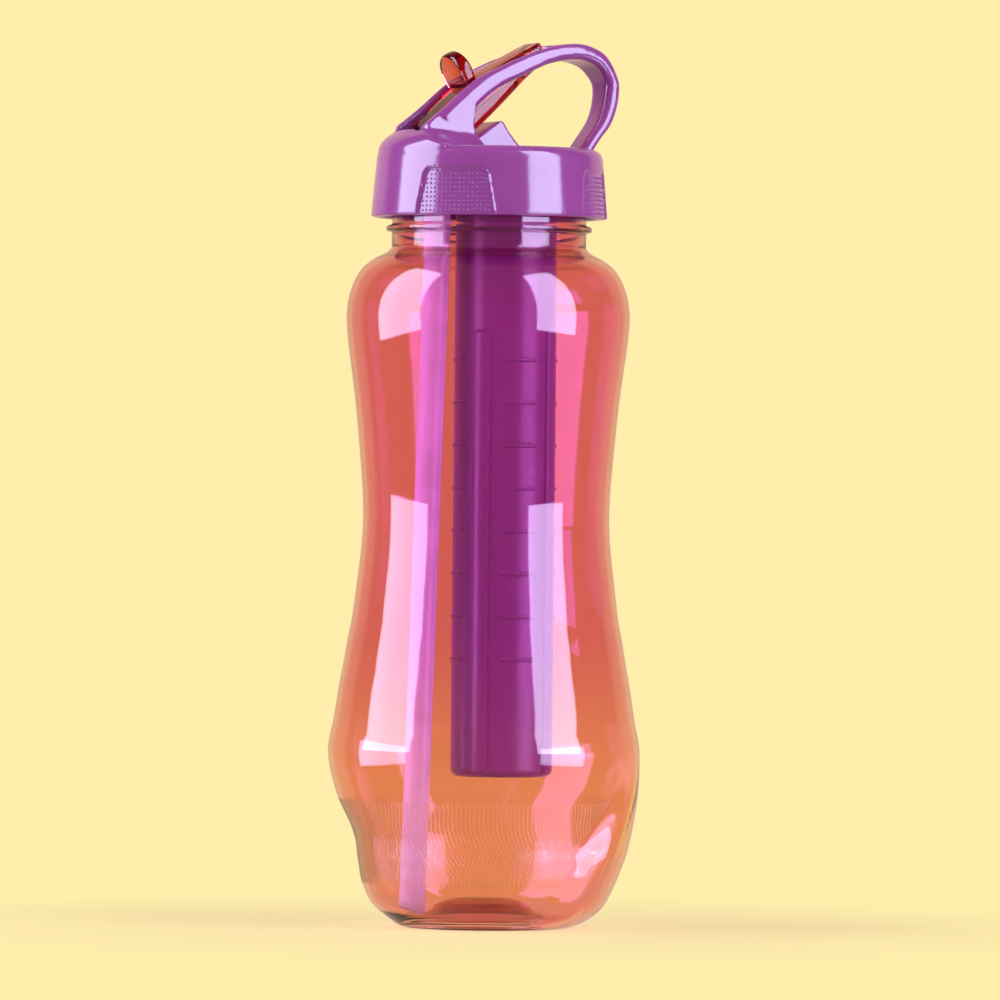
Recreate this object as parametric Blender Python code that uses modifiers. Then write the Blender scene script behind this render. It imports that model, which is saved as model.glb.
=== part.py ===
"""Water bottle with a freezer stick.

A clear waisted bottle, a screw lid with a carrying loop and a flip spout, a drinking straw,
and a sealed cooling stick that hangs from the lid.

Metres, +Z up. The origin is on the bottle's axis, where it stands. +X points to the back of
the carrying loop, and the spout's hinge is on the -X side.
"""

import math

import bmesh
import bpy
from mathutils import Matrix, Vector

# Fits
FIT = 0.0003  # running gap between pieces that touch
OVERRUN = 0.0010  # how far one solid runs into another, or a cutter past a face

# Bottle
BELLY_RADIUS = 0.0422
BELLY_HEIGHT = 0.0454
WAIST_RADIUS = 0.0333
WAIST_HEIGHT = 0.1102
SHOULDER_RADIUS = 0.0383
SHOULDER_HEIGHT = 0.1652
NECK_RADIUS = 0.0263
NECK_ROOT = 0.1830
NECK_TOP = 0.2062
WALL = 0.0018
STAND_RADIUS = 0.0232
PUNT_RADIUS = 0.0160
PUNT_RISE = 0.0070
BEAD_PROUD = 0.0015
BEAD_HEIGHT = 0.0022
BEAD_MIDDLE = 0.1887

# Lower wall: a recessed band goes round the foot, and one spine stays full between its ends
RECESS_DEPTH = 0.0054
SPINE_TOP = 0.0520
SPINE_ANGLE = math.radians(-29.7)
SPINE_SPREAD = math.radians(45)
SPINE_EDGE = math.radians(16)

# Screw thread, two starts
THREAD_LEAD = 0.0080
THREAD_STARTS = 2
THREAD_DEPTH = 0.0021
THREAD_ROOT_WIDTH = 0.0017
THREAD_CREST_WIDTH = 0.0007
THREAD_FLANK_GAP = 0.0004
THREAD_CREST_GAP = 0.0009
THREAD_DROP = 0.0097  # from the neck's lip to the middle of the ridge where it starts
NECK_THREAD_TURN_SHARE = 0.90
LID_THREAD_TURN_SHARE = 0.60

# Lid
SEAL_THICKNESS = 0.0016
DECK_THICKNESS = 0.0020
SKIRT_HEIGHT = 0.0179
SKIRT_WALL = 0.0013
SKIRT_FLARE = 0.0014
LID_EDGE = 0.0030
SKIRT_CHAMFER = 0.0004

# Grip panels
PANEL_DEPTH = 0.0007
PANEL_FOOT_WIDTH = 0.0231
PANEL_TOP_WIDTH = 0.0186
PANEL_HEIGHT = 0.0130
PANEL_CORNER = 0.0024
PANEL_ANGLES = [math.radians(45 + 90 * n) for n in range(4)]

# Hood round the spout's hinge: it carries on up from the skirt and fans out to the front
HOOD_RIM_HEIGHT = 0.0046
HOOD_HEIGHT = 0.0116
HOOD_HALF_WIDTH = 0.0097
HOOD_FLARE = 0.0024
HOOD_FAN_SHARE = 0.39  # what the flare gains in width for each length further forward
HOOD_SLOPE_AHEAD = 0.0098  # from the hinge
HOOD_BEHIND = 0.0093
HOOD_BACK_SWEEP = 0.0028
CHANNEL_AHEAD = 0.0083
CHANNEL_BEHIND = 0.0342
CHANNEL_WIDTH = 0.0136

# Carrying loop
LOOP_OVERHANG = 0.0069
LOOP_RISE = 0.0291
LOOP_HALF_WIDTH = 0.0095
LOOP_CORNER = 0.0013

# Stop behind the spout
STOP_BEHIND = 0.0097
STOP_LENGTH = 0.0132
STOP_HEIGHT = 0.0075

# Spout
HINGE_ABOVE_DECK = 0.0041
BARREL_RADIUS = 0.0052
SPOUT_WIDTH = 0.0120
SPOUT_REST_ANGLE = math.radians(36.4)
SPOUT_REACH = 0.0384
SPOUT_SHOULDER_ALONG = 0.0139
SPOUT_SHOULDER_ACROSS = 0.0059
SPOUT_TIP_HALF_HEIGHT = 0.0026
SPOUT_TIP_SLANT = 0.0050
SPOUT_ROUNDING = 0.0014
SPOUT_BORE = 0.0023
PORT_ANGLE = math.radians(200)  # of the barrel's port at rest: 70 degrees on, it looks down
PIN_RADIUS = 0.0016
PIN_BITE = 0.0016
TAB_HEIGHT = 0.0100
TAB_WIDTH = 0.0118
TAB_THICKNESS = 0.0027
TAB_LEAN = math.radians(10)

# Spout seat and straw socket under the deck
SEAT_BOSS_RADIUS = 0.0074
SEAT_BOSS_DROP = 0.0034
SEAT_BOSS_MARGIN = 0.0014  # to the neck's bore
SEAT_RADIUS = 0.0042
SEAT_FLOOR_THICKNESS = 0.0016
SOCKET_WALL = 0.0014
SOCKET_LENGTH = 0.0074

# Straw
STRAW_RADIUS = 0.0035
STRAW_WALL = 0.00085
STRAW_FOOT_X = -0.0206
STRAW_FOOT_CLEARANCE = 0.0009
STRAW_CUT_ANGLE = math.radians(27)

# Vent valve
VENT_MARGIN = 0.00186  # to the neck's bore
VENT_ANGLE = math.radians(99)
VENT_STEM_RADIUS = 0.0010
VENT_BULB_RADIUS = 0.0017
VENT_FLAP_RADIUS = 0.0034
VENT_FLAP_THICKNESS = 0.0008
VENT_HOLE_RADIUS = 0.0005

# Freezer stick
STICK_NECK_GAP = 0.00545
STICK_STRAW_GAP = 0.00375
STICK_WALL = 0.0016
STICK_BOTTOM = 0.0408
STICK_EDGE = 0.0020
RIB_TOP = 0.1615
RIB_WIDTH = 0.0050
RIB_HEIGHT = 0.0009
RIB_ANGLES = [math.radians(35.3 + 90 * n) for n in range(4)]
MARK_TOP = 0.1534
MARK_PITCH = 0.01157
MARK_COUNT = 8
MARK_ARC = math.radians(44.5)
MARK_HEIGHT = 0.0012
MARK_PROUD = 0.0005
CAP_FLANGE = 0.0025
CAP_PLUG_LENGTH = 0.0065
KNOB_RADIUS = 0.0080
KNOB_LENGTH = 0.0093
KNOB_EDGE = 0.0006
STICK_SOCKET_WALL = 0.0017
RING_SECTION = 0.0008
GEL_TOP = 0.1820

# Heights and radii that follow
THREAD_FOOT = NECK_TOP - THREAD_DROP
SEAL_FOOT = NECK_TOP + FIT
DECK_UNDER = SEAL_FOOT + SEAL_THICKNESS + FIT
DECK_TOP = DECK_UNDER + DECK_THICKNESS
SKIRT_FOOT = DECK_TOP - SKIRT_HEIGHT
NECK_BORE = NECK_RADIUS - WALL
BEAD_RADIUS = NECK_RADIUS + BEAD_PROUD
NECK_CREST = NECK_RADIUS + THREAD_DEPTH
SKIRT_BORE = NECK_CREST + THREAD_CREST_GAP
SKIRT_TOP_RADIUS = SKIRT_BORE + SKIRT_WALL
SKIRT_FOOT_RADIUS = SKIRT_TOP_RADIUS + SKIRT_FLARE
LOOP_REACH = SKIRT_TOP_RADIUS + LOOP_OVERHANG
HINGE_X = SEAT_BOSS_RADIUS + SEAT_BOSS_MARGIN - NECK_BORE
VENT_REACH = NECK_BORE - VENT_FLAP_RADIUS - VENT_MARGIN
VENT_X = VENT_REACH * math.cos(VENT_ANGLE)
VENT_Y = VENT_REACH * math.sin(VENT_ANGLE)
STICK_FRONT = HINGE_X + STRAW_RADIUS + STICK_STRAW_GAP
STICK_BACK = NECK_BORE - STICK_NECK_GAP
STICK_X = (STICK_FRONT + STICK_BACK) / 2
STICK_RADIUS = (STICK_BACK - STICK_FRONT) / 2
HINGE_HEIGHT = DECK_TOP + HINGE_ABOVE_DECK
SEAT_FLOOR = DECK_UNDER - SEAT_BOSS_DROP
SOCKET_TOP = SEAT_FLOOR - SEAT_FLOOR_THICKNESS
SOCKET_FOOT = SOCKET_TOP - SOCKET_LENGTH
SOCKET_BORE = STRAW_RADIUS + FIT
STRAW_BEND = SOCKET_FOOT - 3 * STRAW_RADIUS
STRAW_TOP = SOCKET_TOP - FIT
KNOB_TOP = DECK_UNDER - FIT
FLANGE_TOP = KNOB_TOP - KNOB_LENGTH
FLANGE_FOOT = FLANGE_TOP - CAP_FLANGE
STICK_TOP = FLANGE_FOOT - FIT
STICK_BORE = STICK_RADIUS - STICK_WALL
STICK_FLOOR = STICK_BOTTOM + STICK_WALL

# Underside of the foot, from its middle out: shares of the punt's rise and radius
PUNT_SHARES = (
    (0.96, 0.45),
    (0.78, 0.68),
    (0.40, 0.84),
    (0.07, 1.00),
)
# Foot of the bottle, from the floor to the belly: shares of the belly's height and radius,
# and how much of the recess's depth the row has
FOOT_SHARES = (
    (0.048, 0.635, 0.10),
    (0.143, 0.770, 0.42),
    (0.250, 0.848, 0.58),
    (0.357, 0.893, 0.80),
    (0.427, 0.919, 0.93),
    (0.500, 0.938, 1.00),
    (0.570, 0.952, 0.94),
    (0.643, 0.967, 0.80),
    (0.714, 0.980, 0.57),
    (0.784, 0.990, 0.37),
    (0.900, 0.998, 0.20),
    (1.000, 1.000, 0.00),
)
# Belly to waist, waist to shoulder and shoulder to neck: share of the way up, and share of
# the change in radius that is still to come
WAIST_SHARES = (
    (0.075, 0.975),
    (0.150, 0.860),
    (0.300, 0.665),
    (0.450, 0.480),
    (0.620, 0.275),
    (0.800, 0.110),
    (1.000, 0.000),
)
SHOULDER_SHARES = (
    (0.150, 0.930),
    (0.350, 0.770),
    (0.550, 0.550),
    (0.730, 0.310),
    (0.870, 0.100),
    (1.000, 0.000),
)
COLLAR_SHARES = (
    (0.200, 0.983),
    (0.400, 0.905),
    (0.600, 0.770),
    (0.760, 0.590),
    (0.880, 0.310),
    (1.000, 0.000),
)
# Carrying loop from the hood over the top and down to the deck. Each row is one section:
# its outer and inner edge in shares of the reach and the rise, and its share of the width
LOOP_SHARES = (
    (-0.480, 0.340, -0.250, 0.140, 1.00),
    (-0.440, 0.445, -0.221, 0.285, 1.00),
    (-0.221, 0.640, -0.195, 0.375, 1.00),
    (0.000, 0.777, -0.035, 0.530, 0.98),
    (0.211, 0.890, 0.130, 0.660, 0.95),
    (0.424, 0.972, 0.390, 0.800, 0.88),
    (0.643, 1.000, 0.620, 0.852, 0.80),
    (0.800, 0.953, 0.765, 0.815, 0.72),
    (0.896, 0.869, 0.835, 0.750, 0.66),
    (0.984, 0.684, 0.884, 0.656, 0.59),
    (1.000, 0.564, 0.888, 0.557, 0.55),
    (0.984, 0.405, 0.869, 0.419, 0.52),
    (0.933, 0.247, 0.830, 0.285, 0.51),
    (0.851, 0.117, 0.750, 0.135, 0.51),
    (0.775, -0.030, 0.655, -0.030, 0.53),
)
# Hood's round front: shares of the skirt's top radius and of the rim's height over the deck
HOOD_DOME_SHARES = (
    (0.985, -0.60),
    (0.985, -0.17),
    (0.972, 0.13),
    (0.942, 0.40),
    (0.900, 0.67),
    (0.853, 0.90),
    (0.800, 1.10),
)
# Hood's sides: share of the rim's height over the deck, and how much of the flare is left
HOOD_FLARE_SHARES = (
    (0.00, 1.00),
    (0.30, 0.55),
    (0.70, 0.20),
    (1.20, 0.04),
)
# Hood's back edge from the deck up: shares of its sweep and of the hood's height
HOOD_BACK_SHARES = (
    (0.55, 0.12),
    (0.85, 0.30),
    (1.00, 0.56),
    (1.00, 1.00),
)
# Side of the stop, from its front foot to its back foot: shares of its length and height
STOP_SHARES = (
    (0.00, 0.10),
    (0.08, 0.42),
    (0.52, 1.00),
    (0.62, 0.62),
    (0.77, 0.28),
    (1.00, 0.02),
)

BOTTLE_SIDES = 40
LID_SIDES = 48
STICK_SIDES = 28
SMALL_SIDES = 16


# Scene and small helpers
def clear_scene():
    for obj in list(bpy.data.objects):
        bpy.data.objects.remove(obj)


def new_collection(name, hidden):
    collection = bpy.data.collections.new(name)
    bpy.context.scene.collection.children.link(collection)
    collection.hide_render = hidden
    return collection


clear_scene()
PARTS = new_collection("water_bottle_with_freezer_stick", False)
CUTTERS = new_collection("cutters", True)


def add_object(name, mesh, collection):
    obj = bpy.data.objects.new(name, mesh)
    collection.objects.link(obj)
    if collection == CUTTERS:
        obj.hide_render = True
        obj.display_type = "WIRE"
    return obj


def from_bmesh(name, bm, collection):
    bmesh.ops.recalc_face_normals(bm, faces=bm.faces)
    mesh = bpy.data.meshes.new(name)
    bm.to_mesh(mesh)
    bm.free()
    return add_object(name, mesh, collection)


def turned(name, outline, sides, collection=None, middle=(0, 0)):
    """A turned solid: the outline's (radius, height) points run down its outer side."""
    mesh = bpy.data.meshes.new(name)
    points = [(radius, 0, height) for radius, height in outline]
    edges = [(n, n + 1) for n in range(len(points) - 1)]
    if outline[0][0] > 0:
        edges.append((len(points) - 1, 0))
    mesh.from_pydata(points, edges, [])
    obj = add_object(name, mesh, collection or CUTTERS)
    if middle != (0, 0):
        obj.location = (middle[0], middle[1], 0)
        obj.rotation_euler = (0, 0, math.pi / sides / 2)  # its edges miss the lid's own
    screw = obj.modifiers.new("turn", "SCREW")
    screw.steps = screw.render_steps = sides
    screw.use_merge_vertices = True
    screw.merge_threshold = 0.00001
    return obj


def ring_outline(inner, outer, foot, top):
    return [(inner, top), (outer, top), (outer, foot), (inner, foot)]


def rod_outline(radius, foot, top):
    return [(0, top), (radius, top), (radius, foot), (0, foot)]


def loft(name, rings, collection, pole=None, capped=True):
    """Skin over rings of equal point counts. A pole closes the first ring to one point."""
    bm = bmesh.new()
    rows = [[bm.verts.new(point) for point in ring] for ring in rings]
    count = len(rows[0])
    for low, high in zip(rows, rows[1:]):
        for n in range(count):
            m = (n + 1) % count
            bm.faces.new((low[n], low[m], high[m], high[n]))
    if pole is not None:
        tip = bm.verts.new(pole)
        for n in range(count):
            bm.faces.new((tip, rows[0][(n + 1) % count], rows[0][n]))
    if capped:
        bm.faces.new(rows[-1])
        if pole is None:
            bm.faces.new(rows[0])
    return from_bmesh(name, bm, collection)


def plate(name, points, thickness, turn=(0, 0, 0), place=(0, 0, 0)):
    """A flat outline given its thickness, turned and placed, as a mesh that can cut."""
    curve = bpy.data.curves.new(name, "CURVE")
    curve.dimensions = "2D"
    curve.fill_mode = "BOTH"
    curve.extrude = thickness / 2
    spline = curve.splines.new("POLY")
    spline.points.add(len(points) - 1)
    for point, (x, y) in zip(spline.points, points):
        point.co = (x, y, 0, 1)
    spline.use_cyclic_u = True
    drawn = add_object(name + "_outline", curve, CUTTERS)
    drawn.rotation_euler = turn
    drawn.location = place
    bpy.context.view_layer.update()
    graph = bpy.context.evaluated_depsgraph_get()
    mesh = bpy.data.meshes.new_from_object(drawn.evaluated_get(graph))
    bm = bmesh.new()
    bm.from_mesh(mesh)
    bmesh.ops.remove_doubles(bm, verts=bm.verts, dist=FIT / 10)
    bmesh.ops.transform(bm, matrix=drawn.matrix_world, verts=bm.verts)
    bpy.data.objects.remove(drawn)
    bpy.data.meshes.remove(mesh)
    return from_bmesh(name, bm, CUTTERS)


SIDE_VIEW = (math.pi / 2, 0, 0)  # outline (x, z), thickness along Y
FRONT_VIEW = (math.pi / 2, 0, math.pi / 2)  # outline (y, z), thickness along X


def combine(target, other, operation):
    boolean = target.modifiers.new(other.name, "BOOLEAN")
    boolean.operation = operation
    boolean.object = other
    return target


def round_edges(obj, width, segments=2):
    bevel = obj.modifiers.new("rounding", "BEVEL")
    bevel.width = width
    bevel.segments = segments
    bevel.limit_method = "ANGLE"
    bevel.angle_limit = math.radians(40)
    return obj


def finish(obj, colour, roughness, alpha=1):
    """Gives a part its own material and smooth shading with sharp creases kept."""
    material = bpy.data.materials.new(obj.name)
    material.use_nodes = True
    shader = material.node_tree.nodes["Principled BSDF"]
    shader.inputs["Base Color"].default_value = (*colour, 1)
    shader.inputs["Roughness"].default_value = roughness
    shader.inputs["Metallic"].default_value = 0
    shader.inputs["Alpha"].default_value = alpha
    obj.data.materials.append(material)
    obj.data.shade_smooth()
    obj.data.set_sharp_from_angle(angle=math.radians(35))


def arc(middle, radius, start, end, steps):
    """Points on an arc in the outline's plane, from start to end in radians."""
    angles = [start + (end - start) * n / steps for n in range(steps + 1)]
    return [
        (middle[0] + radius * math.cos(a), middle[1] + radius * math.sin(a)) for a in angles
    ]


def smooth_rows(rows, steps):
    """Rows of numbers, with steps - 1 rows added between each two on a smooth curve."""
    rows = [Vector(row) for row in rows]
    out = []
    for n in range(len(rows) - 1):
        before = rows[max(n - 1, 0)]
        start, end = rows[n], rows[n + 1]
        after = rows[min(n + 2, len(rows) - 1)]
        for step in range(steps):
            t = step / steps
            out.append(
                start
                + (end - before) * (t / 2)
                + (before * 2 - start * 5 + end * 4 - after) * (t * t / 2)
                + (start * 3 - before - end * 3 + after) * (t * t * t / 2)
            )
    return out + [rows[-1]]


def smooth_step(value):
    value = min(max(value, 0), 1)
    return value * value * (3 - 2 * value)


# Screw threads
def thread_ridges(name, root, crest, foot, turn_share):
    """The ridges of one thread, all starts in one mesh, each tapered out at its two ends."""
    steps = max(6, round(BOTTLE_SIDES * turn_share))
    sunk = root - math.copysign(OVERRUN / 2, crest - root)
    made = []
    for start in range(THREAD_STARTS):
        rings = []
        for step in range(steps + 1):
            share = step / steps
            angle = 2 * math.pi * (start / THREAD_STARTS + turn_share * share)
            middle = foot + THREAD_LEAD * turn_share * share
            rise = smooth_step(min(share, 1 - share) * 6)
            top = root + (crest - root) * (0.1 + 0.9 * rise)
            wide = THREAD_ROOT_WIDTH / 2
            narrow = THREAD_CREST_WIDTH / 2
            section = ((sunk, -wide), (top, -narrow), (top, narrow), (sunk, wide))
            rings.append(
                [(r * math.cos(angle), r * math.sin(angle), middle + z) for r, z in section]
            )
        made.append(loft(f"{name}_{start + 1}", rings, CUTTERS))
    return made


# Bottle
def spine_weight(angle, height):
    """1 on the full spine, 0 on the recessed band, with a soft edge between them."""
    if height >= SPINE_TOP:
        return 1
    half = SPINE_SPREAD * (1 - height / SPINE_TOP) ** 0.75
    off = abs((angle - SPINE_ANGLE + math.pi) % (2 * math.pi) - math.pi)
    return 1 - smooth_step((off - half) / SPINE_EDGE + 0.5)


def bottle_rows():
    """(height, radius, recess share) of each row of the outer wall, from the floor up."""
    rows = []
    for height_share, radius_share, recess_share in FOOT_SHARES:
        rows.append((BELLY_HEIGHT * height_share, BELLY_RADIUS * radius_share, recess_share))
    stretches = (
        (WAIST_SHARES, BELLY_HEIGHT, BELLY_RADIUS, WAIST_HEIGHT, WAIST_RADIUS),
        (SHOULDER_SHARES, WAIST_HEIGHT, WAIST_RADIUS, SHOULDER_HEIGHT, SHOULDER_RADIUS),
        (COLLAR_SHARES, SHOULDER_HEIGHT, SHOULDER_RADIUS, NECK_ROOT, NECK_RADIUS),
    )
    for shares, foot, foot_radius, top, top_radius in stretches:
        for up_share, left_share in shares:
            radius = top_radius + (foot_radius - top_radius) * left_share
            rows.append((foot + (top - foot) * up_share, radius, 0))
    rows.append((NECK_TOP, NECK_RADIUS, 0))
    return rows


def make_bottle():
    rows = [(PUNT_RISE * rise, PUNT_RADIUS * out, 0) for rise, out in PUNT_SHARES]
    rows.append((0, (PUNT_RADIUS + STAND_RADIUS) / 2, 0))
    rows.append((0, STAND_RADIUS, 0))
    rows += bottle_rows()
    rings = []
    for height, radius, recess_share in rows:
        ring = []
        for n in range(BOTTLE_SIDES):
            angle = 2 * math.pi * n / BOTTLE_SIDES
            sunk = RECESS_DEPTH * recess_share * (1 - spine_weight(angle, height))
            reach = radius - sunk
            ring.append((reach * math.cos(angle), reach * math.sin(angle), height))
        rings.append(ring)
    body = loft("bottle_body", rings, PARTS, pole=(0, 0, PUNT_RISE), capped=False)
    shell = body.modifiers.new("wall", "SOLIDIFY")
    shell.thickness = WALL
    shell.offset = -1
    shell.use_even_offset = True
    half = BEAD_HEIGHT / 2
    bead = turned(
        "neck_bead",
        [
            (NECK_RADIUS - OVERRUN, BEAD_MIDDLE + half),
            (BEAD_RADIUS - half / 2, BEAD_MIDDLE + half),
            (BEAD_RADIUS, BEAD_MIDDLE + half / 2),
            (BEAD_RADIUS, BEAD_MIDDLE - half / 2),
            (BEAD_RADIUS - half / 2, BEAD_MIDDLE - half),
            (NECK_RADIUS - OVERRUN, BEAD_MIDDLE - half),
        ],
        BOTTLE_SIDES,
    )
    combine(body, bead, "UNION")
    ridges = thread_ridges(
        "neck_thread", NECK_RADIUS, NECK_CREST, THREAD_FOOT, NECK_THREAD_TURN_SHARE
    )
    for ridge in ridges:
        combine(body, ridge, "UNION")
    finish(body, (0.90, 0.45, 0.32), 0.05, 0.35)


# Lid
def lid_cap():
    edge = arc((SKIRT_TOP_RADIUS - LID_EDGE, DECK_TOP - LID_EDGE), LID_EDGE, math.pi / 2, 0, 4)
    outline = [(0, DECK_TOP)] + edge
    outline += [
        (SKIRT_FOOT_RADIUS, SKIRT_FOOT + SKIRT_CHAMFER),
        (SKIRT_FOOT_RADIUS - SKIRT_CHAMFER, SKIRT_FOOT),
        (SKIRT_BORE + SKIRT_CHAMFER, SKIRT_FOOT),
        (SKIRT_BORE, SKIRT_FOOT + SKIRT_CHAMFER),
        (SKIRT_BORE, DECK_UNDER),
        (0, DECK_UNDER),
    ]
    return turned("lid_shell", outline, LID_SIDES, PARTS)


def grip_panels():
    """Cutters for the sunk panels: a band just under the skirt's face, kept at each panel."""
    fall = (SKIRT_FOOT_RADIUS - SKIRT_TOP_RADIUS) / (SKIRT_HEIGHT - LID_EDGE)
    foot = SKIRT_FOOT - OVERRUN
    top = SKIRT_FOOT + PANEL_HEIGHT
    inner_foot = SKIRT_FOOT_RADIUS - PANEL_DEPTH + fall * OVERRUN
    inner_top = SKIRT_FOOT_RADIUS - PANEL_DEPTH - fall * PANEL_HEIGHT
    outer = SKIRT_FOOT_RADIUS + OVERRUN
    cutters = []
    for n, angle in enumerate(PANEL_ANGLES):
        half_foot = PANEL_FOOT_WIDTH / 2
        half_top = PANEL_TOP_WIDTH / 2
        right = arc((half_top - PANEL_CORNER, top - PANEL_CORNER), PANEL_CORNER, 0, math.pi / 2, 3)
        left = [(-x, z) for x, z in reversed(right)]
        outline = [(half_foot, foot)] + right + left + [(-half_foot, foot)]
        reach = SKIRT_FOOT_RADIUS
        middle = (reach * math.cos(angle), reach * math.sin(angle), 0)
        turn = (math.pi / 2, 0, angle + math.pi / 2)
        window = plate(f"panel_window_{n + 1}", outline, reach, turn, middle)
        band = turned(
            f"panel_band_{n + 1}",
            [
                (inner_top, top + OVERRUN),
                (outer, top + OVERRUN),
                (outer, foot - OVERRUN),
                (inner_foot, foot - OVERRUN),
            ],
            LID_SIDES,
        )
        cutters.append(combine(band, window, "INTERSECT"))
    return cutters


def hood():
    """Block round the hinge: its side outline, kept between fanned sides and inside a dome."""
    base = DECK_UNDER + FIT
    rim = DECK_TOP + HOOD_RIM_HEIGHT
    peak = DECK_TOP + HOOD_HEIGHT
    ahead = -SKIRT_FOOT_RADIUS - OVERRUN
    back = HINGE_X + HOOD_BEHIND
    side = [(ahead, base), (back, base), (back, DECK_TOP)]
    side += [
        (back - HOOD_BACK_SWEEP * sweep, DECK_TOP + HOOD_HEIGHT * rise)
        for sweep, rise in HOOD_BACK_SHARES
    ]
    side += [(HINGE_X, peak), (HINGE_X - HOOD_SLOPE_AHEAD, rim), (ahead, rim)]
    block = plate("hood", side, 2 * SKIRT_FOOT_RADIUS, SIDE_VIEW)
    levels = [(base - OVERRUN, 1)]
    levels += [(DECK_TOP + HOOD_RIM_HEIGHT * up, left) for up, left in HOOD_FLARE_SHARES]
    levels.append((peak + OVERRUN, 0))
    rings = []
    for height, left_share in levels:
        behind = HOOD_HALF_WIDTH + HOOD_FLARE * left_share
        front = behind + HOOD_FAN_SHARE * left_share * (back - ahead)
        rings.append(
            [
                (ahead - OVERRUN, -front, height),
                (back + OVERRUN, -behind, height),
                (back + OVERRUN, behind, height),
                (ahead - OVERRUN, front, height),
            ]
        )
    combine(block, loft("hood_sides", rings, CUTTERS), "INTERSECT")
    outline = [
        (SKIRT_TOP_RADIUS * out, DECK_TOP + HOOD_RIM_HEIGHT * up)
        for out, up in reversed(HOOD_DOME_SHARES)
    ]
    top_radius = outline[0][0]
    outline = [(0, peak + OVERRUN), (top_radius, peak + OVERRUN)] + outline
    outline.append((0, outline[-1][1]))
    combine(block, turned("hood_dome", outline, LID_SIDES), "INTERSECT")
    return block


def carrying_loop():
    """The loop as a skin over rounded sections that narrow towards its back."""
    rings = []
    for row in smooth_rows(LOOP_SHARES, 3):
        outer = Vector((LOOP_REACH * row[0], 0, DECK_TOP + LOOP_RISE * row[1]))
        inner = Vector((LOOP_REACH * row[2], 0, DECK_TOP + LOOP_RISE * row[3]))
        across = (outer - inner).normalized()
        half_thick = (outer - inner).length / 2
        half_wide = LOOP_HALF_WIDTH * row[4]
        ring = []
        for quarter in range(4):
            up = 1 if quarter in (0, 1) else -1
            side = 1 if quarter in (0, 3) else -1
            corner = (side * (half_wide - LOOP_CORNER), up * (half_thick - LOOP_CORNER))
            start = quarter * math.pi / 2
            for y, t in arc(corner, LOOP_CORNER, start, start + math.pi / 2, 2):
                ring.append((outer + inner) / 2 + across * t + Vector((0, y, 0)))
        rings.append(ring)
    return loft("carrying_loop", rings, CUTTERS)


def spout_channel():
    """Plan of the open channel that the spout lies in, with a round back end."""
    half = CHANNEL_WIDTH / 2
    front = HINGE_X - CHANNEL_AHEAD
    back = arc((HINGE_X + CHANNEL_BEHIND - half, 0), half, -math.pi / 2, math.pi / 2, 8)
    outline = [(front, half), (front, -half)] + back
    height = 2 * LOOP_RISE
    middle = DECK_TOP - 2 * OVERRUN + height / 2
    return plate("spout_channel", outline, height, place=(0, 0, middle))


def spout_stop():
    front = HINGE_X + STOP_BEHIND
    outline = [(front + STOP_LENGTH * x, DECK_TOP + STOP_HEIGHT * z) for x, z in STOP_SHARES]
    outline += [(front + STOP_LENGTH, DECK_TOP - OVERRUN), (front, DECK_TOP - OVERRUN)]
    return round_edges(plate("spout_stop", outline, CHANNEL_WIDTH, SIDE_VIEW), FIT, 1)


def hinge_rod(name, radius, length):
    """A rod along the spout's hinge axis."""
    rod = turned(name, rod_outline(radius, -length / 2, length / 2), SMALL_SIDES)
    rod.rotation_euler = (math.pi / 2, 0, 0)
    rod.location = (HINGE_X, 0, HINGE_HEIGHT)
    return rod


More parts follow.
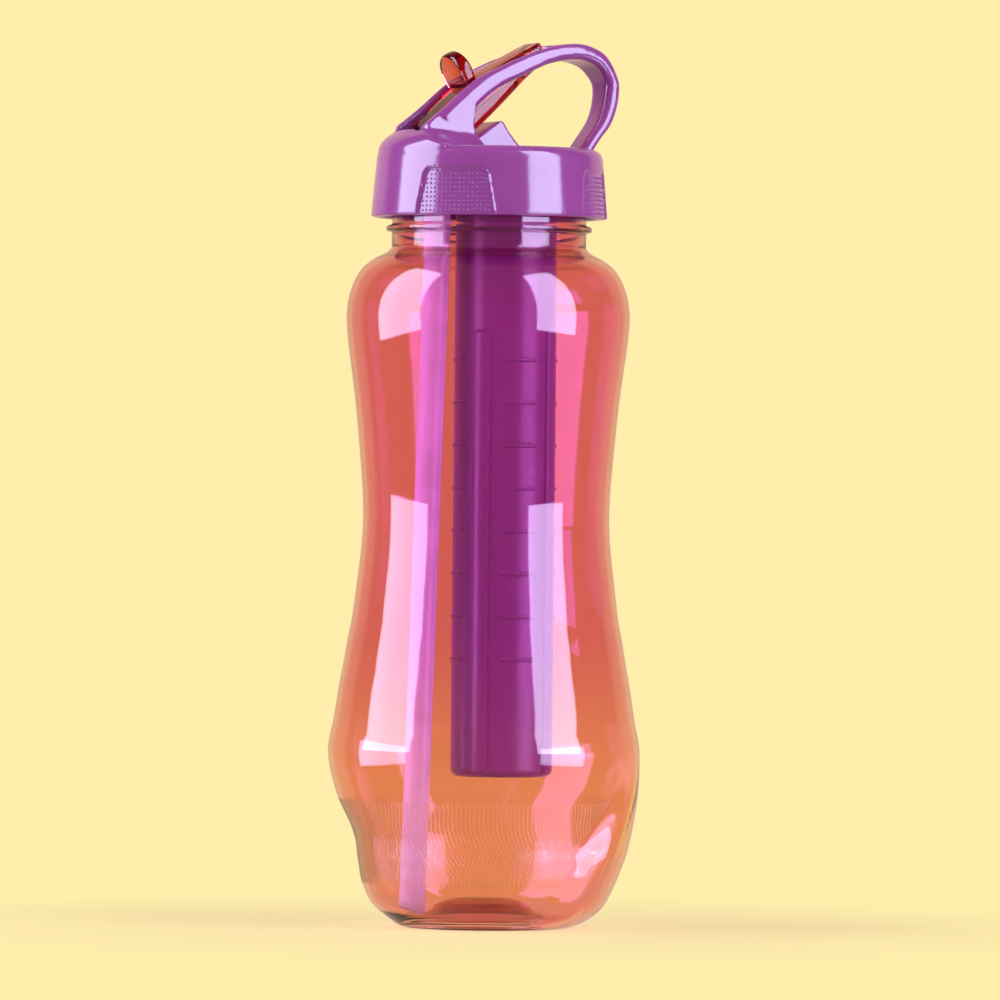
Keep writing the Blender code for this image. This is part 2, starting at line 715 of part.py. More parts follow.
def make_lid():
    lid = lid_cap()
    over = carrying_loop()
    combine(over, hood(), "UNION")
    combine(over, spout_channel(), "DIFFERENCE")
    combine(lid, over, "UNION")
    combine(lid, spout_stop(), "UNION")
    at_hinge = (HINGE_X, 0)
    at_stick = (STICK_X, 0)
    at_vent = (VENT_X, VENT_Y)
    sunk = DECK_UNDER + OVERRUN / 2
    holder_bore = KNOB_RADIUS + FIT
    holder = ring_outline(holder_bore, holder_bore + STICK_SOCKET_WALL, FLANGE_TOP + FIT, sunk)
    combine(lid, turned("stick_socket", holder, SMALL_SIDES, middle=at_stick), "UNION")
    boss = [
        (0, sunk),
        (SEAT_BOSS_RADIUS, sunk),
        (SEAT_BOSS_RADIUS, SOCKET_TOP),
        (SOCKET_BORE + SOCKET_WALL, SOCKET_TOP),
        (SOCKET_BORE + SOCKET_WALL, SOCKET_FOOT),
        (SOCKET_BORE, SOCKET_FOOT),
        (SOCKET_BORE, SOCKET_TOP),
        (SPOUT_BORE, SOCKET_TOP),
        (SPOUT_BORE, SEAT_FLOOR + OVERRUN / 2),
        (0, SEAT_FLOOR + OVERRUN / 2),
    ]
    combine(lid, turned("straw_socket", boss, SMALL_SIDES, middle=at_hinge), "UNION")
    lid_crest = SKIRT_BORE - (THREAD_DEPTH - FIT)
    drop = (THREAD_ROOT_WIDTH + THREAD_CREST_WIDTH) / 2 + THREAD_FLANK_GAP
    foot = THREAD_FOOT - drop
    for ridge in thread_ridges("lid_thread", SKIRT_BORE, lid_crest, foot, LID_THREAD_TURN_SHARE):
        combine(lid, ridge, "UNION")
    for cutter in grip_panels():
        combine(lid, cutter, "DIFFERENCE")
    pit = hinge_rod("barrel_pit", BARREL_RADIUS + FIT, SPOUT_WIDTH + 2 * FIT)
    combine(lid, pit, "DIFFERENCE")
    pin_hole = hinge_rod("pin_holes", PIN_RADIUS + FIT, CHANNEL_WIDTH + 2 * (PIN_BITE + FIT))
    combine(lid, pin_hole, "DIFFERENCE")
    bores = (
        ("seat_bore", SEAT_RADIUS + FIT, SEAT_FLOOR, DECK_TOP + OVERRUN, at_hinge),
        ("vent_bore", VENT_STEM_RADIUS + FIT, SEAT_FLOOR, DECK_TOP + OVERRUN, at_vent),
    )
    for name, radius, foot, top, middle in bores:
        bore = turned(name, rod_outline(radius, foot, top), SMALL_SIDES, middle=middle)
        combine(lid, bore, "DIFFERENCE")
    for side in (-1, 1):
        across = side * (VENT_STEM_RADIUS + VENT_FLAP_RADIUS) / 2
        outline = rod_outline(VENT_HOLE_RADIUS, SEAT_FLOOR, DECK_TOP + OVERRUN)
        place = (VENT_X + across, VENT_Y)
        combine(lid, turned(f"vent_hole_{side}", outline, 8, middle=place), "DIFFERENCE")
    finish(lid, (0.33, 0.07, 0.32), 0.35)
    return lid


def make_seals():
    ring = ring_outline(NECK_BORE - FIT, SKIRT_BORE - FIT, SEAL_FOOT, SEAL_FOOT + SEAL_THICKNESS)
    seal = turned("lid_seal_ring", ring, LID_SIDES, PARTS)
    finish(seal, (0.80, 0.80, 0.78), 0.6)
    seat = turned(
        "spout_seat_seal",
        ring_outline(SPOUT_BORE, SEAT_RADIUS, SEAT_FLOOR + FIT, HINGE_HEIGHT - BARREL_RADIUS / 2),
        SMALL_SIDES,
        PARTS,
        (HINGE_X, 0),
    )
    combine(seat, hinge_rod("seat_hollow", BARREL_RADIUS + FIT, CHANNEL_WIDTH), "DIFFERENCE")
    finish(seat, (0.80, 0.80, 0.78), 0.6)


def make_vent_valve():
    under = DECK_UNDER - FIT
    bulb = DECK_TOP + FIT
    outline = [
        (0, bulb + VENT_BULB_RADIUS),
        (VENT_BULB_RADIUS * 0.6, bulb + VENT_BULB_RADIUS * 0.8),
        (VENT_BULB_RADIUS, bulb),
        (VENT_STEM_RADIUS, bulb),
        (VENT_STEM_RADIUS, under),
        (VENT_FLAP_RADIUS, under),
        (VENT_FLAP_RADIUS, under - VENT_FLAP_THICKNESS / 2),
        (VENT_STEM_RADIUS, under - VENT_FLAP_THICKNESS),
        (0, under - VENT_FLAP_THICKNESS),
    ]
    valve = turned("vent_valve", outline, SMALL_SIDES, PARTS, (VENT_X, VENT_Y))
    finish(valve, (0.80, 0.80, 0.78), 0.6)


# Straw
def make_straw():
    """Straight down from its socket, then leaning out to the wall, cut slanting at its foot."""
    foot_low = WALL + STRAW_FOOT_CLEARANCE
    lean = (STRAW_FOOT_X - HINGE_X) / (STRAW_BEND - foot_low)
    slant = math.tan(STRAW_CUT_ANGLE)

    def ring(radius, height, slanted):
        points = []
        for n in range(SMALL_SIDES):
            angle = 2 * math.pi * n / SMALL_SIDES
            z = height
            if slanted:
                z += (STRAW_RADIUS - radius * math.cos(angle)) * slant
            x = HINGE_X + lean * max(STRAW_BEND - z, 0)
            points.append((x + radius * math.cos(angle), radius * math.sin(angle), z))
        return points

    bore = STRAW_RADIUS - STRAW_WALL
    heights = [STRAW_TOP, STRAW_BEND, foot_low]
    rings = [ring(STRAW_RADIUS, height, height == foot_low) for height in heights]
    rings += [ring(bore, height, height == foot_low) for height in reversed(heights)]
    straw = loft("drinking_straw", rings, PARTS, capped=False)
    bm = bmesh.new()
    bm.from_mesh(straw.data)
    open_edges = [edge for edge in bm.edges if edge.is_boundary]
    bmesh.ops.bridge_loops(bm, edges=open_edges)
    bmesh.ops.recalc_face_normals(bm, faces=bm.faces)
    bm.to_mesh(straw.data)
    bm.free()
    finish(straw, (0.70, 0.25, 0.55), 0.15, 0.5)


# Spout
def make_spout():
    """Modelled with its hinge axis through its origin and its flow along +X, then tipped up."""
    tip = SPOUT_REACH
    half = SPOUT_TIP_HALF_HEIGHT
    round_tip = SPOUT_ROUNDING
    outline = arc((0, 0), BARREL_RADIUS, math.radians(105), math.radians(285), 14)
    outline += [
        (SPOUT_SHOULDER_ALONG * 0.62, -SPOUT_SHOULDER_ACROSS * 0.86),
        (tip - SPOUT_TIP_SLANT - round_tip, -half),
        (tip - SPOUT_TIP_SLANT, -half + round_tip / 2),
        (tip, half - round_tip),
        (tip - round_tip / 2, half - round_tip / 4),
        (tip - round_tip * 1.5, half + round_tip / 4),
        (SPOUT_SHOULDER_ALONG, SPOUT_SHOULDER_ACROSS),
    ]
    spout = plate("spout", outline, SPOUT_WIDTH, SIDE_VIEW)
    CUTTERS.objects.unlink(spout)
    PARTS.objects.link(spout)
    spout.hide_render = False
    spout.display_type = "TEXTURED"
    spout.matrix_world = Matrix()
    round_edges(spout, SPOUT_ROUNDING, 3)
    pins = turned(
        "spout_pins",
        rod_outline(PIN_RADIUS, -CHANNEL_WIDTH / 2 - PIN_BITE, CHANNEL_WIDTH / 2 + PIN_BITE),
        SMALL_SIDES,
    )
    pins.rotation_euler = (math.pi / 2, 0, 0)
    combine(spout, pins, "UNION")
    half_tab = TAB_WIDTH / 2
    tab_outline = [(half_tab, -OVERRUN), (half_tab, TAB_HEIGHT - half_tab * 0.8)]
    tab_outline += [
        (half_tab * math.cos(a), TAB_HEIGHT - half_tab * 0.8 * (1 - math.sin(a)))
        for a in (math.pi * n / 8 for n in range(1, 8))
    ]
    tab_outline += [(-half_tab, TAB_HEIGHT - half_tab * 0.8), (-half_tab, -OVERRUN)]
    tab = plate("thumb_tab", tab_outline, TAB_THICKNESS, FRONT_VIEW)
    round_edges(tab, TAB_THICKNESS / 4, 2)
    tab.rotation_euler = (0, TAB_LEAN, 0)
    tab.location = (SPOUT_SHOULDER_ALONG, 0, SPOUT_SHOULDER_ACROSS - OVERRUN / 2)
    combine(spout, tab, "UNION")
    bore = turned("spout_bore", rod_outline(SPOUT_BORE, 0, SPOUT_REACH + OVERRUN), SMALL_SIDES)
    bore.rotation_euler = (0, math.pi / 2, 0)
    port = turned("spout_port", rod_outline(SPOUT_BORE, 0, BARREL_RADIUS + OVERRUN), SMALL_SIDES)
    port.rotation_euler = (0, math.pi / 2 - (PORT_ANGLE - SPOUT_REST_ANGLE), 0)
    combine(bore, port, "UNION")
    combine(spout, bore, "DIFFERENCE")
    hinge = bpy.data.objects.new("spout_hinge", None)
    PARTS.objects.link(hinge)
    hinge.location = (HINGE_X, 0, HINGE_HEIGHT)
    hinge.rotation_euler = (0, -SPOUT_REST_ANGLE, 0)
    for obj in (spout, pins, tab, bore, port):
        obj.parent = hinge
    finish(spout, (0.45, 0.03, 0.06), 0.08, 0.6)


# Freezer stick
def stick_marks():
    """Ribs down the stick, and between them the rows of graduation bars, in one mesh each."""
    made = []
    foot = STICK_BOTTOM + STICK_EDGE
    for n, angle in enumerate(RIB_ANGLES):
        rings = []
        for height in (foot, RIB_TOP):
            ring = []
            half = RIB_WIDTH / 2
            proud = STICK_RADIUS + RIB_HEIGHT
            inside = STICK_RADIUS - OVERRUN
            edge = RIB_HEIGHT / 2
            corners = ((inside, -half), (proud - edge, -half), (proud, -half + edge))
            corners += ((proud, half - edge), (proud - edge, half), (inside, half))
            for r, t in corners:
                x = STICK_X + r * math.cos(angle) - t * math.sin(angle)
                y = r * math.sin(angle) + t * math.cos(angle)
                ring.append((x, y, height))
            rings.append(ring)
        made.append(loft(f"stick_rib_{n + 1}", rings, CUTTERS))
    steps = 3
    for column, rib_angle in enumerate(RIB_ANGLES):
        middle_angle = rib_angle + math.pi / 4
        for row in range(MARK_COUNT):
            middle = MARK_TOP - MARK_PITCH * row
            rings = []
            for step in range(steps + 1):
                angle = middle_angle + MARK_ARC * (step / steps - 0.5)
                section = (
                    (STICK_RADIUS - OVERRUN, -MARK_HEIGHT / 2),
                    (STICK_RADIUS + MARK_PROUD, -MARK_HEIGHT / 3),
                    (STICK_RADIUS + MARK_PROUD, MARK_HEIGHT / 3),
                    (STICK_RADIUS - OVERRUN, MARK_HEIGHT / 2),
                )
                rings.append(
                    [
                        (STICK_X + r * math.cos(angle), r * math.sin(angle), middle + z)
                        for r, z in section
                    ]
                )
            made.append(loft(f"stick_mark_{column + 1}_{row + 1}", rings, CUTTERS))
    return made


def make_stick():
    corner = (STICK_RADIUS - STICK_EDGE, STICK_BOTTOM + STICK_EDGE)
    edge = arc(corner, STICK_EDGE, 0, -math.pi / 2, 4)
    outline = [
        (0, STICK_FLOOR),
        (STICK_BORE - STICK_EDGE, STICK_FLOOR),
        (STICK_BORE, STICK_FLOOR + STICK_EDGE),
        (STICK_BORE, STICK_TOP),
        (STICK_RADIUS, STICK_TOP),
    ]
    outline += edge + [(0, STICK_BOTTOM)]
    tube = turned("stick_tube", outline, STICK_SIDES, PARTS, (STICK_X, 0))
    for mark in stick_marks():
        combine(tube, mark, "UNION")
    finish(tube, (0.28, 0.02, 0.23), 0.4)

    plug = STICK_BORE - FIT
    plug_foot = FLANGE_FOOT - CAP_PLUG_LENGTH
    groove = plug - FIT - 2 * RING_SECTION
    groove_middle = FLANGE_FOOT - CAP_PLUG_LENGTH / 2
    groove_half = RING_SECTION + FIT
    outline = [
        (0, KNOB_TOP),
        (KNOB_RADIUS - KNOB_EDGE, KNOB_TOP),
        (KNOB_RADIUS, KNOB_TOP - KNOB_EDGE),
        (KNOB_RADIUS, FLANGE_TOP),
        (STICK_RADIUS - KNOB_EDGE, FLANGE_TOP),
        (STICK_RADIUS, FLANGE_TOP - KNOB_EDGE),
        (STICK_RADIUS, FLANGE_FOOT),
        (plug, FLANGE_FOOT),
        (plug, groove_middle + groove_half),
        (groove, groove_middle + groove_half),
        (groove, groove_middle - groove_half),
        (plug, groove_middle - groove_half),
        (plug, plug_foot + KNOB_EDGE),
        (plug - KNOB_EDGE, plug_foot),
        (0, plug_foot),
    ]
    cap = turned("stick_cap", outline, STICK_SIDES, PARTS, (STICK_X, 0))
    finish(cap, (0.33, 0.07, 0.32), 0.35)

    ring_middle = groove + FIT + RING_SECTION
    section = arc((ring_middle, groove_middle), RING_SECTION, math.pi / 2, -1.25 * math.pi, 7)
    ring = turned("stick_seal", section, STICK_SIDES, PARTS, (STICK_X, 0))
    finish(ring, (0.80, 0.80, 0.78), 0.6)

    gel_radius = STICK_BORE - FIT
    outline = [
        (0, GEL_TOP),
        (gel_radius, GEL_TOP),
        (gel_radius, STICK_FLOOR + FIT + STICK_EDGE),
        (gel_radius - STICK_EDGE, STICK_FLOOR + FIT),
        (0, STICK_FLOOR + FIT),
    ]
    gel = turned("coolant_gel", outline, STICK_SIDES, PARTS, (STICK_X, 0))
    finish(gel, (0.55, 0.75, 0.90), 0.3)


make_bottle()
make_lid()
make_seals()
make_vent_valve()
make_straw()
make_spout()
make_stick()
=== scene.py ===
import math

import bpy
from mathutils import Matrix, Vector


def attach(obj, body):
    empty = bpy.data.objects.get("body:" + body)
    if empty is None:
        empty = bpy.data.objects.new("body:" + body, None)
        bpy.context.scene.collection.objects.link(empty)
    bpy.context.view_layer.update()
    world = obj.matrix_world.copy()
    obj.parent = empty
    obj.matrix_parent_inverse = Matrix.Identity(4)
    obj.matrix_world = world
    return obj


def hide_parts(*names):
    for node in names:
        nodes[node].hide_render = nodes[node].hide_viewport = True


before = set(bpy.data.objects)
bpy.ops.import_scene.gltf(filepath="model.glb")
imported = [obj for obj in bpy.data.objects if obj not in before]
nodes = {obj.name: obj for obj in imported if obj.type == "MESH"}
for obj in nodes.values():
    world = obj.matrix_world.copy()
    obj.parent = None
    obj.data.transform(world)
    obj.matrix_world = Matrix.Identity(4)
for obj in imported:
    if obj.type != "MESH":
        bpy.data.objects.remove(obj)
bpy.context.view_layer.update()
mm = 0.001


# small tools


def only(thing):
    # nothing else selected, and this one active
    if bpy.context.object and bpy.context.object.mode != "OBJECT":
        bpy.ops.object.mode_set(mode="OBJECT")
    bpy.ops.object.select_all(action="DESELECT")
    thing.select_set(True)
    bpy.context.view_layer.objects.active = thing
    return thing


class Wire:
    # a node's output that can stand in a sum
    def __init__(self, paint, socket):
        self.paint = paint
        self.socket = socket

    def other(self, name):
        return Wire(self.paint, self.socket.node.outputs[name])

    def __add__(self, value):
        return self.paint.sum("ADD", self, value)

    def __radd__(self, value):
        return self.paint.sum("ADD", value, self)

    def __mul__(self, value):
        return self.paint.sum("MULTIPLY", self, value)

    def __rmul__(self, value):
        return self.paint.sum("MULTIPLY", value, self)

    def __pow__(self, value):
        return self.paint.sum("POWER", self, value)


class Paint:
    # one material, or the world, and the nodes in it
    def __init__(self, name, holder=None):
        self.holder = holder or bpy.data.materials.new(name)
        self.holder.use_nodes = True
        self.tree = self.holder.node_tree
        self.tree.nodes.clear()

    def node(self, kind, settings=None, sockets=None):
        made = self.tree.nodes.new("ShaderNode" + kind)
        for name, value in (settings or {}).items():
            setattr(made, name, value)
        for name, value in (sockets or {}).items():
            socket = made.inputs[name]
            if isinstance(value, Wire):
                self.tree.links.new(value.socket, socket)
            elif socket.type == "RGBA" and len(value) == 3:
                socket.default_value = (*value, 1)
            else:
                socket.default_value = value
        shown = [output for output in made.outputs if output.enabled]
        return Wire(self, shown[0]) if shown else None

    def sum(self, operation, first, second):
        return self.node("Math", {"operation": operation}, {0: first, 1: second})

    def coords(self):
        return self.node("TexCoord").other("Object")

    def noise(self, scale, detail=3, distortion=0):
        # scale is in spots per metre
        spread = {"Scale": scale, "Detail": detail, "Distortion": distortion}
        return self.node("TexNoise", {}, {"Vector": self.coords(), **spread})

    def span(self, value, low, high, start, end):
        # value from low to high, read as start to end
        return self.node(
            "MapRange",
            {"interpolation_type": "SMOOTHSTEP"},
            {"Value": value, "From Min": low, "From Max": high, "To Min": start, "To Max": end},
        )

    def blendColours(self, share, first, second):
        mixed = self.node("Mix", {"data_type": "RGBA"}, {"Factor": share})
        mixNode = mixed.socket.node
        # a Mix node has its colours on sockets 6 and 7, and their mix on output 2
        for socket, colour in ((mixNode.inputs[6], first), (mixNode.inputs[7], second)):
            if isinstance(colour, Wire):
                self.tree.links.new(colour.socket, socket)
            else:
                socket.default_value = (*colour, 1)
        return Wire(self, mixNode.outputs[2])

    def bump(self, height, strength, distance):
        return self.node("Bump", {}, {"Height": height, "Strength": strength, "Distance": distance})

    def finish(self, shader, inside=None):
        output = "OutputWorld" if isinstance(self.holder, bpy.types.World) else "OutputMaterial"
        self.node(output, {}, {"Surface": shader, "Volume": inside} if inside else {"Surface": shader})
        return self.holder


print("scene: tools ready")

# finishes


def clearPlastic(name, tints, letThrough, roughness, ripple, heights=(0, 1), paintedShade=None, soak=None):
    # tints at two heights, and painted shade, a darker tint, in the middle of the foot under the bottle and
    # on a thin ring where the shoulder meets the neck.
    # letThrough is for the lamps, and soak is what a metre of it takes from each colour
    paint = Paint(name)
    relief = (paint.noise(260, 4) + paint.noise(30, 2) * 6) * ripple
    place = paint.node("SeparateXYZ", {}, {"Vector": paint.coords()})
    height = place.other("Z")
    colour = paint.blendColours(paint.span(height, *heights, 0, 1), *tints)
    # painted shade: the tint goes darker in the middle of the foot, under the bottle, and on a thin ring
    # under the neck
    if paintedShade:
        reach = (place.other("X") ** 2 + place.other("Y") ** 2) ** 0.5
        middle = paint.span(reach, *paintedShade["reach"], 1, 0) * paint.span(height, *paintedShade["top"], 1, 0)
        ring = paint.span(height, *paintedShade["shadeRingFoot"], 0, 1) * paint.span(height, *paintedShade["shadeRingTop"], 1, 0)
        colour = paint.blendColours(ring, colour, paintedShade["colour"])
        colour = paint.blendColours(middle, colour, paintedShade["colour"])
    smear = paint.span(paint.noise(38, 5, 0.6), 0.35, 0.75, roughness, roughness * 2.2)
    plastic = paint.node(
        "BsdfPrincipled",
        {},
        {
            "Base Color": colour,
            "Roughness": smear,
            "IOR": 1.46,
            "Transmission Weight": 1.0,
            "Normal": paint.bump(relief, 1.0, 0.0001),
        },
    )
    shine = paint.node("BsdfTransparent", {}, {"Color": letThrough})
    lamps = paint.node("LightPath").other("Is Shadow Ray")
    inner = None
    if soak:
        most = max(soak)
        inner = paint.node("VolumeAbsorption", {}, {"Color": [1 - s / most for s in soak], "Density": most})
    return paint.finish(paint.node("MixShader", {}, {0: lamps, 1: plastic, 2: shine}), inner)


def mouldedPlastic(name, colour, darker, roughness, coat, grainScale, grainDepth):
    paint = Paint(name)
    cloud = paint.noise(55, 5, 0.3)
    grain = paint.noise(grainScale, 3)
    shade = paint.blendColours(paint.span(cloud, 0.3, 0.7, 0, 1), colour, darker)
    rub = paint.span(paint.noise(90, 6, 0.8), 0.45, 0.8, roughness, roughness * 1.45)
    plastic = paint.node(
        "BsdfPrincipled",
        {},
        {
            "Base Color": shade,
            "Roughness": rub,
            "IOR": 1.5,
            "Coat Weight": coat,
            "Coat Roughness": 0.12,
            "Normal": paint.bump(grain, grainDepth, 0.0002),
        },
    )
    return paint.finish(plastic)


def milkyPlastic(name, colour, roughness, clear, rim):
    # lets part of what is behind it show, more so where it is seen square on
    paint = Paint(name)
    edge = paint.node("LayerWeight", {}, {"Blend": 0.35}).other("Facing")
    cloud = paint.noise(120, 4)
    shade = paint.blendColours(paint.span(cloud, 0.35, 0.7, 0, 1), colour, [c * 0.86 for c in colour])
    plastic = paint.node(
        "BsdfPrincipled",
        {},
        {
            "Base Color": shade,
            "Roughness": paint.span(cloud, 0.3, 0.8, roughness, roughness * 1.6),
            "IOR": 1.49,
            "Alpha": paint.span(edge, 0.05, 0.85, clear, rim),
            "Normal": paint.bump(paint.noise(700, 3), 0.1, 0.0002),
        },
    )
    return paint.finish(plastic)


def rubber(name, colour):
    paint = Paint(name)
    dust = paint.noise(300, 5, 0.5)
    plain = paint.blendColours(paint.span(dust, 0.4, 0.75, 0, 1), colour, [c * 0.88 for c in colour])
    shader = paint.node(
        "BsdfPrincipled",
        {},
        {
            "Base Color": plain,
            "Roughness": paint.span(dust, 0.3, 0.7, 0.5, 0.68),
            "Subsurface Weight": 0.1,
            "Normal": paint.bump(paint.noise(1800, 3), 0.15, 0.0002),
        },
    )
    return paint.finish(shader)


def frozenGel(name, colour):
    paint = Paint(name)
    cells = {"Vector": paint.coords(), "Scale": 160.0}
    frost = paint.node("TexVoronoi", {"feature": "DISTANCE_TO_EDGE"}, cells)
    pale = paint.blendColours(paint.span(frost, 0.0, 0.2, 1, 0), colour, (0.86, 0.93, 0.98))
    shader = paint.node(
        "BsdfPrincipled",
        {},
        {
            "Base Color": pale,
            "Roughness": paint.span(paint.noise(90, 4), 0.3, 0.7, 0.2, 0.45),
            "Subsurface Weight": 0.2,
            "Normal": paint.bump(frost, 0.3, 0.0004),
        },
    )
    return paint.finish(shader)


lidPurple = (0.365, 0.075, 0.375)
lidShade = (0.335, 0.066, 0.34)
finishes = {
    "coral": clearPlastic(
        "clear coral plastic",
        [(0.885, 0.54, 0.65), (0.82, 0.385, 0.69)],
        (0.97, 0.86, 0.93),
        0.012,
        0.05,
        heights=(0.035, 0.085),
        # painted shade: a darker tint in the middle of the foot and a thin dark ring under the neck
        paintedShade={
            "colour": (0.60, 0.25, 0.32),
            "reach": (0.018, 0.026),
            "top": (0.011, 0.016),
            "shadeRingFoot": (0.1800, 0.1812),
            "shadeRingTop": (0.1820, 0.1834),
        },
    ),
    "palest": clearPlastic(
        "clear dots", [(0.995, 0.95, 0.96), (0.995, 0.95, 0.96)], (0.99, 0.97, 0.98), 0.03, 0.05
    ),
    "red": clearPlastic(
        "clear red plastic",
        [(0.99, 0.93, 0.93), (0.99, 0.95, 0.94)],
        (0.92, 0.60, 0.60),
        0.02,
        0.03,
        heights=(0.2145, 0.236),
        soak=(95, 470, 410),
    ),
    "lilac": milkyPlastic("clear lilac plastic", (0.80, 0.66, 0.82), 0.12, 0.60, 0.95),
    "purple": mouldedPlastic("purple lid plastic", lidPurple, lidShade, 0.13, 0.45, 1500, 0.03),
    "magenta": mouldedPlastic(
        "magenta stick plastic", (0.178, 0.007, 0.192), (0.162, 0.006, 0.175), 0.28, 0.15, 1100, 0.10
    ),
    "plug": mouldedPlastic("purple plug plastic", lidPurple, lidShade, 0.3, 0.1, 1300, 0.1),
    "silicone": rubber("milky silicone", (0.80, 0.80, 0.78)),
    "gel": frozenGel("pale blue gel", (0.55, 0.75, 0.90)),
}
print("scene: finishes made")


def dress(thing, finishName):
    thing.data.materials.clear()
    thing.data.materials.append(finishes[finishName])


dress(nodes["stick_cap"], "plug")
dress(nodes["coolant_gel"], "gel")
for name in ("lid_seal_ring", "spout_seat_seal", "vent_valve", "stick_seal"):
    dress(nodes[name], "silicone")

# drawing tools


def emptyObject(name):
    # one corner at the middle of the world, ready to be pulled along
    bpy.ops.object.select_all(action="DESELECT")
    bpy.ops.mesh.primitive_plane_add(size=mm, location=(0, 0, 0))
    thing = bpy.context.object
    thing.name = name
    bpy.ops.object.mode_set(mode="EDIT")
    bpy.ops.mesh.merge(type="CENTER")
    return thing


def drawLine(name, points):
    # points in mm, drawn by pulling one corner from each to the next
    thing = emptyObject(name)
    bpy.ops.transform.translate(value=[c * mm for c in points[0]])
    for here, before in zip(points[1:], points):
        step = [(a - b) * mm for a, b in zip(here, before)]
        bpy.ops.mesh.extrude_region_move(TRANSFORM_OT_translate={"value": step})
    bpy.ops.mesh.select_all(action="SELECT")
    return thing


def tidyMesh(thing):
    only(thing)
    bpy.ops.object.mode_set(mode="EDIT")
    bpy.ops.mesh.select_all(action="SELECT")
    bpy.ops.mesh.remove_doubles(threshold=0.004 * mm)
    bpy.ops.mesh.normals_make_consistent(inside=False)
    bpy.ops.object.mode_set(mode="OBJECT")
    return thing


def spinOutline(name, outline, steps, middle=(0, 0)):
    # (radius, height) points in mm, spun round the upright axis through the middle
    thing = drawLine(name, [(radius, 0, height) for radius, height in outline])
    bpy.ops.mesh.spin(steps=steps, angle=2 * math.pi, center=(0, 0, 0), axis=(0, 0, 1))
    bpy.ops.mesh.select_all(action="SELECT")
    bpy.ops.transform.translate(value=(middle[0] * mm, middle[1] * mm, 0))
    return tidyMesh(thing)


def cutOut(name, outline, place, thickness, way):
    # a flat outline in mm, given its thickness along the way "x", "y" or "z"
    corners = {
        "x": lambda a, b: (place, a, b),
        "y": lambda a, b: (a, place, b),
        "z": lambda a, b: (a, b, place),
    }[way]
    thing = drawLine(name, [corners(a, b) for a, b in outline])
    bpy.ops.mesh.edge_face_add()
    push = [thickness * mm if axis == way else 0 for axis in "xyz"]
    bpy.ops.mesh.extrude_region_move(TRANSFORM_OT_translate={"value": push})
    return tidyMesh(thing)


def wrapGrid(name, rings, closed=True):
    # a flat grid wrapped round rings of points in mm, which all have the same count
    bpy.ops.object.select_all(action="DESELECT")
    across = len(rings[0])
    bpy.ops.mesh.primitive_grid_add(x_subdivisions=across, y_subdivisions=len(rings) - 1, size=1)
    thing = bpy.context.object
    thing.name = name
    for spot, vertex in enumerate(thing.data.vertices):
        ring, point = divmod(spot, across + 1)
        vertex.co = Vector(rings[ring][point % across]) * mm
    tidyMesh(thing)
    if closed:
        bpy.ops.object.mode_set(mode="EDIT")
        bpy.ops.mesh.select_all(action="SELECT")
        bpy.ops.mesh.fill_holes(sides=0)
        bpy.ops.mesh.select_all(action="SELECT")
        bpy.ops.mesh.normals_make_consistent(inside=False)
        bpy.ops.object.mode_set(mode="OBJECT")
    return thing


def applied(thing, kind, **settings):
    only(thing)
    modifier = thing.modifiers.new(kind.lower(), kind)
    for name, value in settings.items():
        setattr(modifier, name, value)
    bpy.ops.object.modifier_apply(modifier=modifier.name)
    return thing


def carve(thing, tool, operation="DIFFERENCE"):
    applied(thing, "BOOLEAN", operation=operation, object=tool, solver="EXACT")
    bpy.data.objects.remove(tool)
    return thing


def rounded(thing, width, segments):
    # its sharp edges rounded over a width in mm
    sharp = math.radians(50)
    applied(thing, "BEVEL", width=width * mm, segments=segments, limit_method="ANGLE", angle_limit=sharp)


def copyOf(thing, place, outward):
    # a copy with its own mesh, at a place in mm and turned to face outward
    copy = thing.copy()
    copy.data = thing.data.copy()
    bpy.context.scene.collection.objects.link(copy)
    turn = outward.to_track_quat("Z", "Y").to_matrix().to_4x4()
    copy.data.transform(Matrix.Translation(place * mm) @ turn)
    return copy


def joined(name, things):
    only(things[0])
    for thing in things[1:]:
        thing.select_set(True)
    bpy.ops.object.join()
    things[0].name = name
    return things[0]


def mould(thing, voxel, smoothing):
    # one even skin over all that overlaps, with its edges softened as in a mould
    applied(thing, "REMESH", mode="VOXEL", voxel_size=voxel * mm)
    applied(thing, "SMOOTH", factor=0.5, iterations=smoothing)


def arcPoints(middle, radius, start, end, steps):
    # points on an arc, with its angles in degrees
    turns = [math.radians(start + (end - start) * n / steps) for n in range(steps + 1)]
    return [(middle[0] + radius * math.cos(t), middle[1] + radius * math.sin(t)) for t in turns]


def flowing(rows, steps):
    # rows of numbers with more rows between them, on a smooth curve through all of them
    rows = [Vector(row) for row in rows]
    out = []
    for n in range(len(rows) - 1):
        before, start, end = rows[max(n - 1, 0)], rows[n], rows[n + 1]
        after = rows[min(n + 2, len(rows) - 1)]
        for step in range(steps):
            t = step / steps
            out.append(
                start
                + (end - before) * (t / 2)
                + (before * 2 - start * 5 + end * 4 - after) * (t * t / 2)
                + (start * 3 - before - end * 3 + after) * (t * t * t / 2)
            )
    return [tuple(row) for row in out + [rows[-1]]]


def smoothStep(value):
    value = min(max(value, 0), 1)
    return value * value * (3 - 2 * value)


def readOff(rows, place):
    # the second number of the rows at this place, which the first numbers give in order
    for (low, first), (high, second) in zip(rows, rows[1:]):
        if low <= place <= high:
            return first + (second - first) * (place - low) / (high - low)
    return rows[0][1] if place < rows[0][0] else rows[-1][1]


def settle(thing, finishName, body, slotName, *replaced, smooth=True):
    dress(thing, finishName)
    only(thing)
    if smooth:
        bpy.ops.object.shade_smooth()
    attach(thing, body)
    if replaced:
        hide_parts(*replaced)
    return thing


print("scene: drawing tools ready")

# bottle

